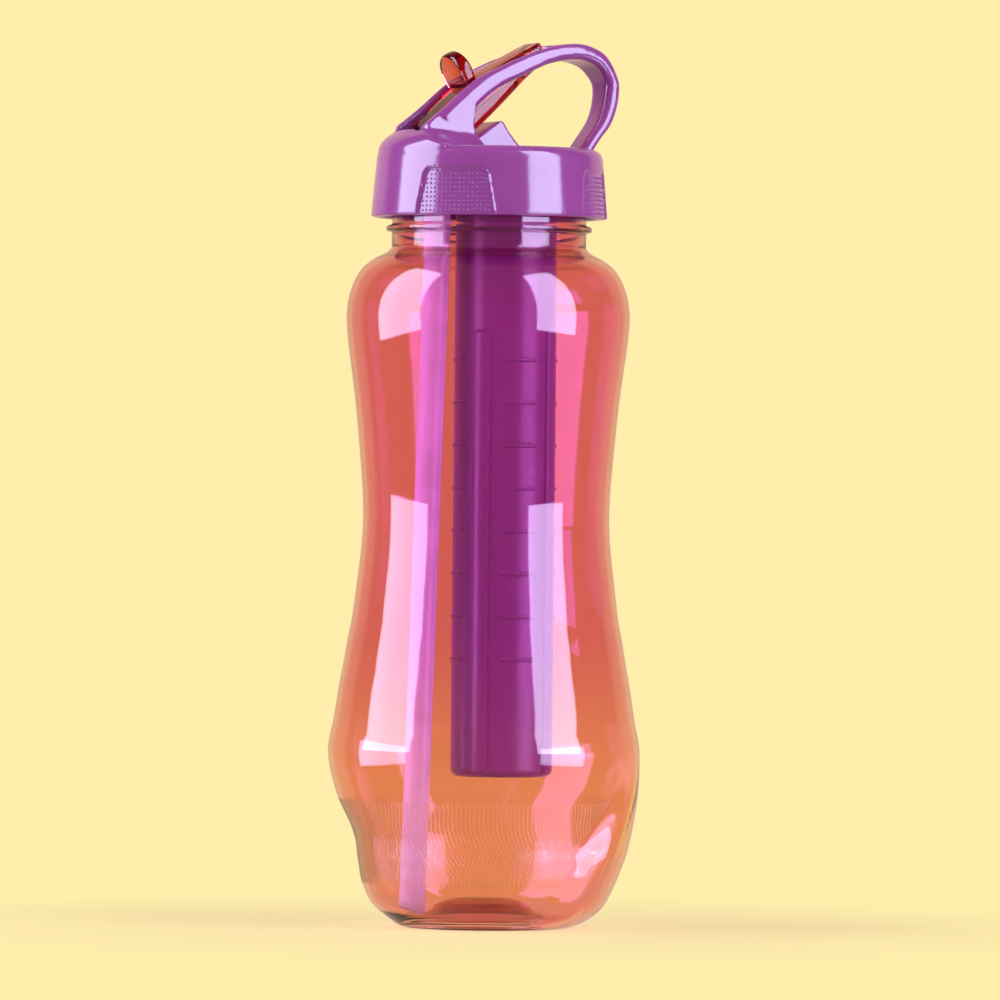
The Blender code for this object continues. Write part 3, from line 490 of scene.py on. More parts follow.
bottle = {
    "steps": 176,
    "wall": 1.3,
    # underside from its middle out, then the full wall up to the neck: radius and height
    "underside": [
        (0, 7.0), (4, 6.95), (7.2, 6.7), (10.9, 5.5), (13.4, 2.9), (15.6, 0.75), (17.4, 0.05), (20.0, 0),
    ],
    "foot": [
        (23.4, 0.15), (27.6, 1.7), (30.9, 3.9), (33.2, 6.5), (34.9, 9.7), (36.4, 13.0), (37.6, 16.2),
        (38.8, 19.4), (39.6, 22.7), (40.3, 25.9), (40.9, 29.2), (41.4, 32.4), (41.8, 35.6),
        (42.05, 38.9), (42.2, 42.1), (42.25, 45.4), (42.1, 48.8), (41.6, 52.0),
    ],
    "side": [
        (40.8, 55.6), (39.4, 64.8), (38.2, 71.3), (37.1, 77.8), (35.9, 84.2), (34.7, 94.0),
        (33.75, 102.0), (33.3, 110.2), (33.55, 118.0), (34.2, 126.4), (35.4, 139.3), (36.6, 149.0),
        (37.7, 157.0), (38.2, 162.0), (38.3, 165.2), (38.0, 168.6), (37.3, 171.7), (36.0, 175.0),
        (33.9, 178.2), (30.6, 180.7), (27.6, 182.2),
    ],
    "neck": 26.3,
    "neckFoot": 183.6,
    "neckRow": 0.28,  # the height of one row of the neck's mesh
    "lip": 206.2,
    "lipCurve": 0.4,
    "bead": (1.5, 188.7, 1.1),  # how far it stands out, its middle and half its height
    "beadSoft": 0.55,
    # sunk band round the foot: height and depth
    "sunk": [
        (-4, 1.0), (0, 1.6), (1.5, 2.9), (3.4, 3.5), (6.5, 3.1), (9.5, 3.1), (13.4, 3.6), (16.2, 4.2),
        (19.4, 4.9), (22.7, 5.3), (25.9, 5.1), (29.2, 4.3), (32.4, 3.2), (35.6, 2.2), (40.9, 0.95),
        (46.0, 0.15), (50.0, 0), (54.0, 0),
    ],
    "ringEdge": 21.0,  # the band fades in outside the ring that the bottle stands on
    "ringFade": 3.0,
    "spineTop": 52.0,
    "spineAngle": -29.7,
    "spineSpread": 45.0,
    "spineEdge": 22.0,
}
bottle["sunkRows"] = flowing(bottle["sunk"], 8)
thread = {"starts": 2, "lead": 8.0, "foot": 196.5, "turns": 0.9, "depth": 2.1, "root": 0.85, "crest": 0.35}


def spineShare(angle, height):
    # 1 on the full spine and 0 on the sunk band
    if height >= bottle["spineTop"]:
        return 1
    half = bottle["spineSpread"] * (1 - height / bottle["spineTop"]) ** 0.75
    off = abs((angle - bottle["spineAngle"] + 180) % 360 - 180)
    return 1 - smoothStep((off - half) / bottle["spineEdge"] + 0.5)


def threadStand(angle, height):
    # how far the thread stands out of the neck here
    stand = 0
    for start in range(thread["starts"]):
        turns = (angle / 360 - start / thread["starts"]) % 1
        if turns > thread["turns"]:
            continue
        share = turns / thread["turns"]
        off = abs(height - thread["foot"] - thread["lead"] * turns)
        slope = (thread["root"] - off) / (thread["root"] - thread["crest"])
        stand = max(stand, thread["depth"] * smoothStep(min(share, 1 - share) * 7) * min(max(slope, 0), 1))
    return stand


def makeBottle():
    outer = flowing(bottle["underside"] + bottle["foot"], 4)
    outer += flowing([bottle["foot"][-1]] + bottle["side"] + [(bottle["neck"], bottle["neckFoot"])], 3)[1:]
    inner = []
    for n, (radius, height) in enumerate(outer):
        before, after = outer[max(n - 1, 0)], outer[min(n + 1, len(outer) - 1)]
        along = Vector((after[0] - before[0], after[1] - before[1])).normalized()
        inner.append((max(radius - along.y * bottle["wall"], 0), height + along.x * bottle["wall"]))
    inner[0] = (0, bottle["underside"][0][1] + bottle["wall"])
    bore = bottle["neck"] - bottle["wall"]
    lip = bottle["lip"]
    foot = bottle["neckFoot"]
    curve = bottle["lipCurve"]
    neckRows = int((lip - foot) / bottle["neckRow"])
    standing, beadMiddle, beadHalf = bottle["bead"]
    outline = list(outer)
    for row in range(1, neckRows):
        height = foot + (lip - curve - foot) * row / neckRows
        swell = standing * smoothStep((beadHalf - abs(height - beadMiddle)) / bottle["beadSoft"])
        outline.append((bottle["neck"] + swell, height))
    outline += arcPoints((bottle["neck"] - curve, lip - curve), curve, 0, 90, 3)
    outline += arcPoints((bore + curve, lip - curve), curve, 90, 180, 3)
    outline += [(bore, lip - 6), (bore, lip - 14), (bore, foot + 0.8)]
    outline += [row for row in reversed(inner) if row[1] < foot - 0.3]
    body = spinOutline("bottle_moulding", outline, bottle["steps"])
    for vertex in body.data.vertices:
        reach = math.hypot(vertex.co.x, vertex.co.y) / mm
        height = vertex.co.z / mm
        angle = math.degrees(math.atan2(vertex.co.y, vertex.co.x))
        moved = reach
        if height < bottle["spineTop"] and reach > bottle["ringEdge"]:
            share = smoothStep((reach - bottle["ringEdge"]) / bottle["ringFade"])
            moved -= readOff(bottle["sunkRows"], height) * (1 - spineShare(angle, height)) * share
        elif height > thread["foot"] - 1 and reach > bottle["neck"] - 0.1 and height < lip - 0.5:
            moved += threadStand(angle, height)
        if moved != reach:
            vertex.co.x *= moved / reach
            vertex.co.y *= moved / reach
    return settle(body, "coral", "bottle", "bottle_plastic", "bottle_body")


makeBottle()
print("scene: bottle made")

# the fine dots on the sunk band of the foot, each a low blunt cone
dots = {
    "low": 12.0,
    "high": 34.5,
    "pitch": 1.2,
    "wide": 0.36,
    "top": 0.20,
    "rise": 0.035,
    "gap": 0.012,
    "clearShare": 0.02,  # how much of the spine a dot may stand on
}
dots["wall"] = [(z, radius) for radius, z in flowing(bottle["foot"], 4)]


def wallRadius(angle, height):
    # the bottle's outside in mm, low on the body
    sunk = readOff(bottle["sunkRows"], height) * (1 - spineShare(angle, height))
    return readOff(dots["wall"], height) - sunk


def makeFootDots():
    bpy.ops.object.select_all(action="DESELECT")
    bpy.ops.mesh.primitive_cone_add(
        vertices=6,
        radius1=dots["wide"] * mm,
        radius2=dots["top"] * mm,
        depth=dots["rise"] * mm,
        location=(0, 0, 0),
    )
    dot = bpy.context.object
    copies = []
    step = dots["pitch"] / 2
    behind = bottle["spineAngle"] + 180
    for row in range(int((dots["high"] - dots["low"]) / step) + 1):
        height = dots["low"] + step * row
        radius = wallRadius(behind, height)
        lean = (radius - wallRadius(behind, height + step)) / step
        reach = radius + dots["rise"] / 2 + dots["gap"]
        count = int(2 * math.pi * radius / dots["pitch"])
        for n in range(count):
            angle = 360 * (n + 0.5 * (row % 2)) / count
            if spineShare(angle, height) > dots["clearShare"]:
                continue
            turned = math.radians(angle)
            outward = Vector((math.cos(turned), math.sin(turned), lean))
            place = Vector((reach * math.cos(turned), reach * math.sin(turned), height))
            copies.append(copyOf(dot, place, outward))
    bpy.data.objects.remove(dot)
    return settle(joined("foot_dots", copies), "palest", "bottle", "bottle_plastic", smooth=False)


makeFootDots()
print("scene: foot dots made")

# lid

lid = {
    "steps": 224,
    "deck": 210.4,
    "under": 208.4,
    "foot": 191.6,
    "footRadius": 32.05,
    "topRadius": 30.6,
    "edge": 3.0,
    "bore": 29.3,
    "voxel": 0.41,
    "soften": 6,
}
# the sunk grip panels
grip = {
    "angles": (45, 135, 225, 315),
    "depth": 0.75,
    "footWidth": 23.1,
    "topWidth": 18.6,
    "height": 12.8,
    "corner": 2.4,
    "pitch": 1.2,
    "dot": 0.33,
    "dotSunk": 0.05,
    "dotFlat": 0.7,
    "firstRow": 1.3,
    "spare": (2.4, 1.25, 0.9),  # left plain at the top, at the sides and by the corners
    "cut": 24,
    "cutReach": 36,
}
# the hood round the hinge: its heights stand over the deck
hood = {
    "rim": 3.6,
    "peak": 15.5,
    "slopeStart": -26.9,
    "slopeEnd": -11.5,
    "behind": -7.4,
    "width": 64,
    # its back edge, as (x, height)
    "back": [(-7.4, 0), (-8.2, 1.6), (-9.1, 3.6), (-9.6, 6.4), (-9.1, 9.3), (-8.8, 10.8), (-9.6, 13.0)],
    # the round front of the lid, as (radius, height)
    "dome": [
        (30.35, -3.0), (30.3, -1.4), (30.1, 0), (29.6, 1.0), (28.8, 2.1), (27.5, 3.2), (26.6, 3.8),
        (25.7, 4.6),
    ],
    # half its width at the back and at the front, at a height
    "plan": [
        (-1.7, 12.1, 22.5), (0, 12.1, 22.5), (0.9, 11.4, 18.9), (2.1, 10.6, 14.6), (3.6, 10.0, 11.2),
        (5.8, 9.7, 9.2), (9.4, 9.6, 7.7), (15.6, 9.5, 6.9),
    ],
}
channel = {"front": -25.2, "back": 18.5, "width": 13.6, "sunk": 2.0, "tall": 60}
# the carrying loop: each section's outer and inner edge in shares of the reach and the rise,
# and its share of the half width
loop = {
    "reach": 37.5,
    "rise": 29.1,
    "halfWidth": 9.5,
    "corner": 2.1,
    "sections": [
        (-0.530, 0.300, -0.330, 0.100, 1.00),
        (-0.453, 0.393, -0.270, 0.280, 1.00),
        (-0.243, 0.617, -0.200, 0.402, 1.00),
        (0.000, 0.777, -0.035, 0.562, 0.98),
        (0.211, 0.890, 0.130, 0.660, 0.95),
        (0.424, 0.972, 0.390, 0.800, 0.88),
        (0.643, 1.000, 0.620, 0.852, 0.80),
        (0.800, 0.953, 0.765, 0.815, 0.72),
        (0.896, 0.869, 0.835, 0.750, 0.66),
        (0.984, 0.684, 0.884, 0.656, 0.59),
        (1.000, 0.564, 0.888, 0.557, 0.55),
        (0.984, 0.405, 0.869, 0.419, 0.52),
        (0.933, 0.247, 0.830, 0.285, 0.51),
        (0.851, 0.117, 0.750, 0.135, 0.51),
        (0.775, -0.030, 0.655, -0.030, 0.53),
    ],
}
# the ridge that the spout rests on, as (x, height over the deck)
ridge = [
    (-9.6, -1.0), (-9.4, 1.2), (-7.6, 2.7), (-1.6, 6.9), (-0.8, 7.35), (0.0, 7.4), (0.7, 6.9), (1.9, 4.9),
    (3.5, 3.0), (4.7, 1.6), (5.8, 0.6), (7.2, 0.1), (7.2, -1.0),
]
hinge = {"x": -15.7, "z": 214.5, "pit": 5.5, "pitWidth": 12.6, "pin": 1.9, "pinWidth": 17.4}
# what hangs under the deck and what is cut from it, as (radius, height) outlines
under = {
    "strawHolder": [
        (0, 208.9), (7.4, 208.9), (7.4, 203.4), (5.2, 203.4), (5.2, 196.0), (3.8, 196.0), (3.8, 203.4),
        (2.3, 203.4), (2.3, 205.5), (0, 205.5),
    ],
    "stickHolder": [(8.3, 199.1), (10.0, 199.1), (10.0, 208.9), (8.3, 208.9), (8.3, 199.1)],
    "stickPlace": (5.3, 0),
    "seat": [(0, 204.98), (4.5, 204.98), (4.5, 212), (0, 212)],
    "vent": [(0, 205), (1.3, 205), (1.3, 212), (0, 212)],
    "ventPlace": (-3.01, 19.0),
}
# the lid's thread: how far it starts in the wall, how far it stands, its foot and its turns
lidThread = {"sunk": 0.5, "stand": 1.8, "foot": 194.9, "turns": 0.6}


def makeCap():
    edge = arcPoints((lid["topRadius"] - lid["edge"], lid["deck"] - lid["edge"]), lid["edge"], 90, 0, 8)
    outline = [(0, lid["deck"])] + edge + [
        (lid["footRadius"], lid["foot"] + 0.4),
        (lid["footRadius"] - 0.4, lid["foot"]),
        (lid["bore"] + 0.4, lid["foot"]),
        (lid["bore"], lid["foot"] + 0.4),
        (lid["bore"], lid["under"]),
        (0, lid["under"]),
    ]
    cap = spinOutline("lid", outline, lid["steps"])
    fall = (lid["footRadius"] - lid["topRadius"]) / (lid["deck"] - lid["edge"] - lid["foot"])
    face = lid["footRadius"] - grip["depth"]
    foot = lid["foot"] - 1
    top = lid["foot"] + grip["height"]
    for degrees in grip["angles"]:
        corner = (grip["topWidth"] / 2 - grip["corner"], top - grip["corner"])
        right = arcPoints(corner, grip["corner"], 0, 90, 6)
        outline = [(grip["footWidth"] / 2, foot)] + right
        outline += [(-a, b) for a, b in reversed(right)] + [(-grip["footWidth"] / 2, foot)]
        window = cutOut("window", outline, face - grip["cut"] / 2, grip["cut"], "x")
        window.data.transform(Matrix.Rotation(math.radians(degrees), 4, "Z"))
        inner = (face - fall * (grip["height"] + 1), top + 1)
        far = grip["cutReach"]
        section = [inner, (far, top + 1), (far, foot - 1), (face + fall * 2, foot - 1), inner]
        band = spinOutline("band", section, lid["steps"])
        carve(band, window, "INTERSECT")
        carve(cap, band)
    return cap


def makeHood():
    deck = lid["deck"]
    rim = deck + hood["rim"]
    base = lid["under"] + 0.3
    ahead = -lid["footRadius"] - 1
    side = [(ahead, base), (hood["behind"], base)]
    side += [(x, deck + rise) for x, rise in flowing(hood["back"], 3)]
    side += [(hood["slopeEnd"], deck + hood["peak"]), (hood["slopeStart"], rim), (ahead, rim)]
    block = cutOut("hood", side, -hood["width"] / 2, hood["width"], "y")
    rings = []
    for rise, back, front in flowing(hood["plan"], 3):
        height = deck + rise
        rings.append([
            (ahead - 1, -front, height),
            (hood["behind"] + 1, -back, height),
            (hood["behind"] + 1, back, height),
            (ahead - 1, front, height),
        ])
    carve(block, wrapGrid("hood sides", rings), "INTERSECT")
    dome = [(radius, deck + rise) for radius, rise in reversed(flowing(hood["dome"], 3))]
    top = deck + hood["peak"] + 1
    dome = [(0, top), (dome[0][0], top)] + dome + [(0, dome[-1][1])]
    carve(block, spinOutline("hood dome", dome, lid["steps"]), "INTERSECT")
    return block


def makeLoop():
    rings = []
    for outX, outZ, inX, inZ, width in flowing(loop["sections"], 5):
        outer = Vector((loop["reach"] * outX, 0, lid["deck"] + loop["rise"] * outZ))
        inner = Vector((loop["reach"] * inX, 0, lid["deck"] + loop["rise"] * inZ))
        up = (outer - inner).normalized()
        thick = (outer - inner).length / 2
        wide = loop["halfWidth"] * width
        corner = min(loop["corner"], thick * 0.85)
        ring = []
        for quarter in range(4):
            side = 1 if quarter in (0, 3) else -1
            level = 1 if quarter in (0, 1) else -1
            middle = (side * (wide - corner), level * (thick - corner))
            for y, t in arcPoints(middle, corner, quarter * 90, quarter * 90 + 90, 5):
                ring.append((outer + inner) / 2 + up * t + Vector((0, y, 0)))
        rings.append(ring)
    return wrapGrid("carrying loop", rings)


def threadRidge(start):
    # one ridge of the lid's thread
    bore = lid["bore"]
    sunk = bore + lidThread["sunk"]
    crest = bore - lidThread["stand"]
    turns = lidThread["turns"]
    half = thread["root"]
    flat = thread["crest"]
    steps = round(120 * turns)
    rings = []
    for step in range(steps + 1):
        share = step / steps
        angle = 2 * math.pi * (start / thread["starts"] + turns * share)
        middle = lidThread["foot"] + thread["lead"] * turns * share
        top = bore + (crest - bore) * (0.1 + 0.9 * smoothStep(min(share, 1 - share) * 6))
        section = ((sunk, -half), (top, -flat), (top, flat), (sunk, half))
        rings.append([(r * math.cos(angle), r * math.sin(angle), middle + z) for r, z in section])
    return wrapGrid("thread ridge", rings)


def hingeBar(name, radius, width, corners):
    # a round bar along the hinge, to cut a pit or the pins' holes
    outline = arcPoints((hinge["x"], hinge["z"]), radius, 0, 360 - 360 / corners, corners - 1)
    return cutOut(name, outline, -width / 2, width, "y")


def makeLid():
    cap = makeCap()
    over = makeHood()
    carve(over, makeLoop(), "UNION")
    half = channel["width"] / 2
    plan = [(channel["front"], half), (channel["front"], -half)]
    plan += arcPoints((channel["back"] - half, 0), half, -90, 90, 14)
    carve(over, cutOut("channel", plan, lid["deck"] - channel["sunk"], channel["tall"], "z"))
    side = [(x, lid["deck"] + rise) for x, rise in ridge]
    rest = cutOut("spout rest", side, -half - 0.4, channel["width"] + 0.8, "y")
    boss = spinOutline("straw holder", under["strawHolder"], 64, (hinge["x"], 0))
    holder = spinOutline("stick holder", under["stickHolder"], 96, under["stickPlace"])
    for solid in (cap, over, boss):
        carve(solid, hingeBar("pit", hinge["pit"], hinge["pitWidth"], 36))
    carve(over, hingeBar("pins", hinge["pin"], hinge["pinWidth"], 24))
    for solid in (cap, boss):
        carve(solid, spinOutline("seat", under["seat"], 48, (hinge["x"], 0)))
    carve(cap, spinOutline("vent", under["vent"], 24, under["ventPlace"]))
    ridges = [threadRidge(start) for start in range(thread["starts"])]
    shell = joined("lid_moulding", [cap, over, rest, boss, holder] + ridges)
    mould(shell, lid["voxel"], lid["soften"])
    return settle(shell, "purple", "lid", "lid_plastic", "lid_shell")


def makeGripDots():
    bpy.ops.object.select_all(action="DESELECT")
    size = grip["dot"] * mm
    bpy.ops.mesh.primitive_uv_sphere_add(segments=8, ring_count=6, radius=size, location=(0, 0, 0))
    dot = bpy.context.object
    bpy.ops.object.mode_set(mode="EDIT")
    bpy.ops.mesh.select_all(action="SELECT")
    base = (0, 0, -grip["dotSunk"] * mm)
    bpy.ops.mesh.bisect(plane_co=base, plane_no=(0, 0, 1), clear_inner=True, use_fill=True)
    bpy.ops.mesh.select_all(action="SELECT")
    bpy.ops.transform.resize(value=(1, 1, grip["dotFlat"]), center_override=(0, 0, 0))
    bpy.ops.object.mode_set(mode="OBJECT")
    fall = (lid["footRadius"] - lid["topRadius"]) / (lid["deck"] - lid["edge"] - lid["foot"])
    taper = (grip["topWidth"] - grip["footWidth"]) / 2 / grip["height"]
    spareTop, spareSide, spareCorner = grip["spare"]
    copies = []
    rows = int((grip["height"] - spareTop) / grip["pitch"])
    for row in range(rows + 1):
        rise = grip["firstRow"] + grip["pitch"] * row
        reach = lid["footRadius"] - grip["depth"] - fall * rise
        half = grip["footWidth"] / 2 + taper * rise - spareSide
        if rise > grip["height"] - grip["corner"]:
            half -= spareCorner
        count = int(half / grip["pitch"])
        for column in range(-count, count + 1):
            for degrees in grip["angles"]:
                angle = math.radians(degrees) + column * grip["pitch"] / reach
                outward = Vector((math.cos(angle), math.sin(angle), fall))
                place = Vector((reach * math.cos(angle), reach * math.sin(angle), lid["foot"] + rise))
                copies.append(copyOf(dot, place, outward))
    bpy.data.objects.remove(dot)
    return settle(joined("grip_dots", copies), "purple", "lid", "lid_plastic")


makeLid()
makeGripDots()
print("scene: lid made")

# spout

spout = {
    "rest": 36.4,
    "barrel": 5.2,
    "barrelWidth": 12.3,
    # each section: how far along the flow it is, its top and bottom, half its width, its corner,
    # and how much further its top reaches
    "sections": [
        (-0.5, 4.9, -4.9, 5.9, 1.0, 0),
        (4.0, 5.7, -4.9, 6.0, 1.2, 0),
        (9.0, 6.2, -4.7, 6.0, 1.4, 0),
        (14.0, 6.35, -4.3, 6.0, 1.5, 0),
        (21.3, 5.7, -3.5, 5.95, 1.6, 0.3),
        (29.0, 4.55, -2.6, 5.7, 1.7, 1.1),
        (34.4, 3.6, -2.1, 5.3, 1.8, 2.0),
        (35.5, 3.2, -1.9, 4.95, 1.75, 2.2),
        (36.1, 2.7, -1.5, 4.4, 1.6, 2.1),
        (36.35, 1.9, -0.9, 3.6, 1.2, 1.9),
    ],
    "bore": 1.5,
    "boreRise": 0.3,
    "port": 1.7,
    "portAngle": 200,
    "pin": 1.6,
    "pinReach": 8.4,
}
tab = {
    "along": 13.4,
    "across": 5.6,
    "width": 13.0,
    "height": 10.2,
    "thickness": 3.5,
    "lean": 10.0,
    "edge": 1.0,
}


def roundedRing(middle, wide, tall, upper, lower):
    # a flat ring of points round a middle: y across and a second number up
    ring = []
    for quarter in range(4):
        side = 1 if quarter in (0, 3) else -1
        level, corner = (1, upper) if quarter in (0, 1) else (-1, lower)
        centre = (side * (wide - corner), middle + level * (tall - corner))
        ring += arcPoints(centre, corner, quarter * 90, quarter * 90 + 90, 6)
    return ring


def makeSpout():
    # drawn flat with the hinge at the middle of the world and the flow along X, then tipped up
    rings = []
    for along, top, bottom, wide, corner, reach in flowing(spout["sections"], 4):
        middle = (top + bottom) / 2
        tall = (top - bottom) / 2
        ring = roundedRing(middle, wide, tall, min(corner, tall * 0.8), min(corner * 1.9, tall * 0.9))
        rings.append([(along + reach * (z - middle) / tall, y, z) for y, z in ring])
    body = wrapGrid("mouthpiece", rings)
    half = spout["barrelWidth"] / 2
    barrel = cutOut("barrel", arcPoints((0, 0), spout["barrel"], 0, 355, 71), -half, half * 2, "y")
    rounded(barrel, 0.7, 3)
    carve(body, barrel, "UNION")
    far = spout["pinReach"]
    carve(body, cutOut("pins", arcPoints((0, 0), spout["pin"], 0, 350, 35), -far, far * 2, "y"), "UNION")
    height = tab["height"]
    wide = tab["width"] / 2
    disc = [(wide * 0.80, -1.5), (wide * 0.93, 1.2)]
    for n in range(1, 32):
        turn = math.pi * n / 32
        disc.append((wide * math.cos(turn), height - wide * 0.86 * (1 - math.sin(turn))))
    disc += [(-wide * 0.93, 1.2), (-wide * 0.80, -1.5)]
    thumb = cutOut("thumb tab", disc, -tab["thickness"] / 2, tab["thickness"], "x")
    rounded(thumb, tab["edge"], 5)
    place = Matrix.Translation((tab["along"] * mm, 0, tab["across"] * mm))
    thumb.data.transform(place @ Matrix.Rotation(math.radians(tab["lean"]), 4, "Y"))
    carve(body, thumb, "UNION")
    carve(body, cutOut("bore", arcPoints((0, spout["boreRise"]), spout["bore"], 0, 352, 44), 0, 45, "x"))
    port = cutOut("port", arcPoints((0, 0), spout["port"], 0, 352, 44), 0.4, spout["barrel"] + 2, "x")
    port.data.transform(Matrix.Rotation(-math.radians(spout["portAngle"] - spout["rest"]), 4, "Y"))
    carve(body, port)
    turn = Matrix.Rotation(-math.radians(spout["rest"]), 4, "Y")
    body.data.transform(Matrix.Translation((hinge["x"] * mm, 0, hinge["z"] * mm)) @ turn)
    tidyMesh(body)
    bpy.ops.object.shade_smooth_by_angle(angle=math.radians(38))
    return settle(body, "red", "flip_spout", "spout_plastic", "spout", smooth=False)


makeSpout()
print("scene: spout made")

# straw

straw = {
    "sides": 48,
    "radius": 3.5,
    "wall": 0.85,
    "top": 203.1,
    "bend": 185.5,
    "soft": 14,  # the bend is spread over this much
    "foot": 2.7,
    "footX": -21.3,
    "cut": 27.0,
}


def strawRing(radius, height, slanted):
    lean = (straw["footX"] - hinge["x"]) / (straw["bend"] - straw["foot"])
    points = []
    for n in range(straw["sides"]):
        angle = 2 * math.pi * n / straw["sides"]
        z = height
        if slanted:
            z += (straw["radius"] - radius * math.cos(angle)) * math.tan(math.radians(straw["cut"]))
        below = straw["bend"] - z
        soft = straw["soft"]
        drop = (below + soft / 2) ** 2 / (2 * soft) if abs(below) <= soft / 2 else max(below, 0)
        points.append((hinge["x"] + lean * drop + radius * math.cos(angle), radius * math.sin(angle), z))
    return points


def makeStraw():
    heights = [straw["top"] - 0.35, 200, 196, 193, 191, 189, 187, 185, 183, 181, 179, 176]
    heights += [176 - 10 * n for n in range(1, 17)] + [8, straw["foot"]]
    bore = straw["radius"] - straw["wall"]
    middle = (straw["radius"] + bore) / 2
    rings = [strawRing(middle, straw["top"], False)]
    rings += [strawRing(straw["radius"], height, height == straw["foot"]) for height in heights]
    rings += [strawRing(bore, height, height == straw["foot"]) for height in reversed(heights)]
    rings.append(rings[0])
    tube = wrapGrid("straw_tube", rings, closed=False)
    return settle(tube, "lilac", "lid", "straw_plastic", "drinking_straw")


makeStraw()
print("scene: straw made")

# freezer stick

stick = {
    "x": 5.3,
    "radius": 13.75,
    "wall": 1.6,
    "bottom": 40.8,
    "top": 195.6,
    "edge": 2.2,
    "ribAngles": (35.3, 125.3, 215.3, 305.3),
    "ribWidth": 5.0,
    "ribHeight": 0.9,
    "ribTop": 161.5,
    "markTop": 153.4,
    "markPitch": 11.57,
    "marks": 8,
    "markArc": 44.5,
    "markHeight": 1.25,
    "markStand": 0.5,
    "ribEnd": 2.4,  # the rib's top end is rounded over this much
    # sections as shares of half the width and of the height
    "ribSection": [
        (-1, -0.6), (-1, 0.1), (-0.9, 0.72), (-0.72, 0.95), (0, 1.06), (0.72, 0.95), (0.9, 0.72), (1, 0.1),
        (1, -0.6),
    ],
    "markSection": [(-1, -0.6), (-0.95, 0.1), (-0.6, 0.75), (0, 1), (0.6, 0.75), (0.95, 0.1), (1, -0.6)],
}


def stickPoint(angle, radius, height):
    return (stick["x"] + radius * math.cos(angle), radius * math.sin(angle), height)


def makeRib(degrees):
    # a low rounded rib down the stick, with a rounded top end
    middle = math.radians(degrees)
    half = stick["ribWidth"] / 2
    radius = stick["radius"]
    foot = stick["bottom"] + stick["edge"] * 0.6
    top = stick["ribTop"]
    rings = []
    heights = [foot - 0.6, foot, foot + 0.8] + [foot + 20 * n for n in range(1, 6)]
    heights += [top - 2.5, top - 1.6, top - 0.9, top - 0.35, top]
    for height in heights:
        left = top - height
        end = max(stick["ribEnd"] - left, 0) / stick["ribEnd"]
        narrow = math.sqrt(max(1 - end**2, 0)) * 0.45 + 0.55
        level = stick["ribHeight"] * smoothStep((left + 0.15) / 1.1) * smoothStep((height - foot + 0.8) / 1.2)
        ring = []
        for across, up in stick["ribSection"]:
            angle = middle + half * narrow * across / radius
            ring.append(stickPoint(angle, radius + (level * up if up > 0 else -0.6), height))
        rings.append(ring)
    return wrapGrid("rib", rings)


def makeMark(degrees, height):
    # a short bar round the stick with rounded ends, spun from its section
    middle = math.radians(degrees)
    arc = math.radians(stick["markArc"])
    radius = stick["radius"]
    rings = []
    steps = 14
    for step in range(steps + 1):
        share = step / steps
        end = min(share, 1 - share) * arc * radius / (stick["markHeight"] / 2)
        size = math.sqrt(max(1 - (1 - min(end, 1)) ** 2, 0.02))
        angle = middle + arc * (share - 0.5)
        ring = []
        for up, out in stick["markSection"]:
            stand = stick["markStand"] * out * size if out > 0 else -0.5
            ring.append(stickPoint(angle, radius + stand, height + up * stick["markHeight"] / 2 * size))
        rings.append(ring)
    return wrapGrid("mark", rings)


def makeStick():
    radius = stick["radius"]
    edge = stick["edge"]
    bottom = stick["bottom"]
    bore = radius - stick["wall"]
    outline = [(0, bottom)] + arcPoints((radius - edge, bottom + edge), edge, -90, 0, 7)
    outline += [(radius, bottom + 30 * n) for n in range(1, 5)] + [(radius, stick["top"])]
    outline += [(bore, stick["top"]), (bore, bottom + 3.6), (bore - 2, bottom + 1.6), (0, bottom + 1.6)]
    parts = [spinOutline("stick", outline, 128, (stick["x"], 0))]
    for degrees in stick["ribAngles"]:
        parts.append(makeRib(degrees))
        for n in range(stick["marks"]):
            parts.append(makeMark(degrees + 45, stick["markTop"] - stick["markPitch"] * n))
    tube = joined("freezer_stick_moulding", parts)
    only(tube)
    bpy.ops.object.shade_smooth_by_angle(angle=math.radians(42))
    return settle(tube, "magenta", "freezer_stick", "stick_plastic", "stick_tube", smooth=False)


makeStick()
print("scene: freezer stick made")

# floor, light and camera

studio = {
    "pale": (1.0, 0.85, 0.41),  # the backdrop and the floor, as they are seen
    "fill": (0.40, 0.40, 0.42),  # what the room gives the object all round
    "through": (1.03, 0.77, 0.18),  # and as it is seen through the clear plastic
    "behind": (0.80, 0.52, 0.42),  # what gloss shows of the backdrop behind the object
    "dim": (0.07, 0.05, 0.07),  # what gloss shows of the rest of the room
    "below": (0.50, 0.36, 0.20),  # and of the floor, well under the object
    "downward": (-0.75, -0.15),  # how steeply down gloss has to look for that
    "sector": (0.48, 0.66),  # cosines of the backdrop's soft edge, seen from the object
    "floorRadius": 6.0,
    "plainFrom": 0.055,  # the floor goes over into the backdrop between these distances
    "plainTo": 0.20,
    "floorColour": (0.95, 0.80, 0.42),
    "floorShare": 0.45,  # how much of the floor by the object is backdrop too
}


def seenShare(paint):
    # 1 for rays of the camera, of gloss and of glass, and 0 for the light on the object
    path = paint.node("LightPath")
    seen = path.other("Is Camera Ray") + path.other("Is Glossy Ray") + path.other("Is Transmission Ray")
    return paint.span(seen, 0, 1, 0, 1)


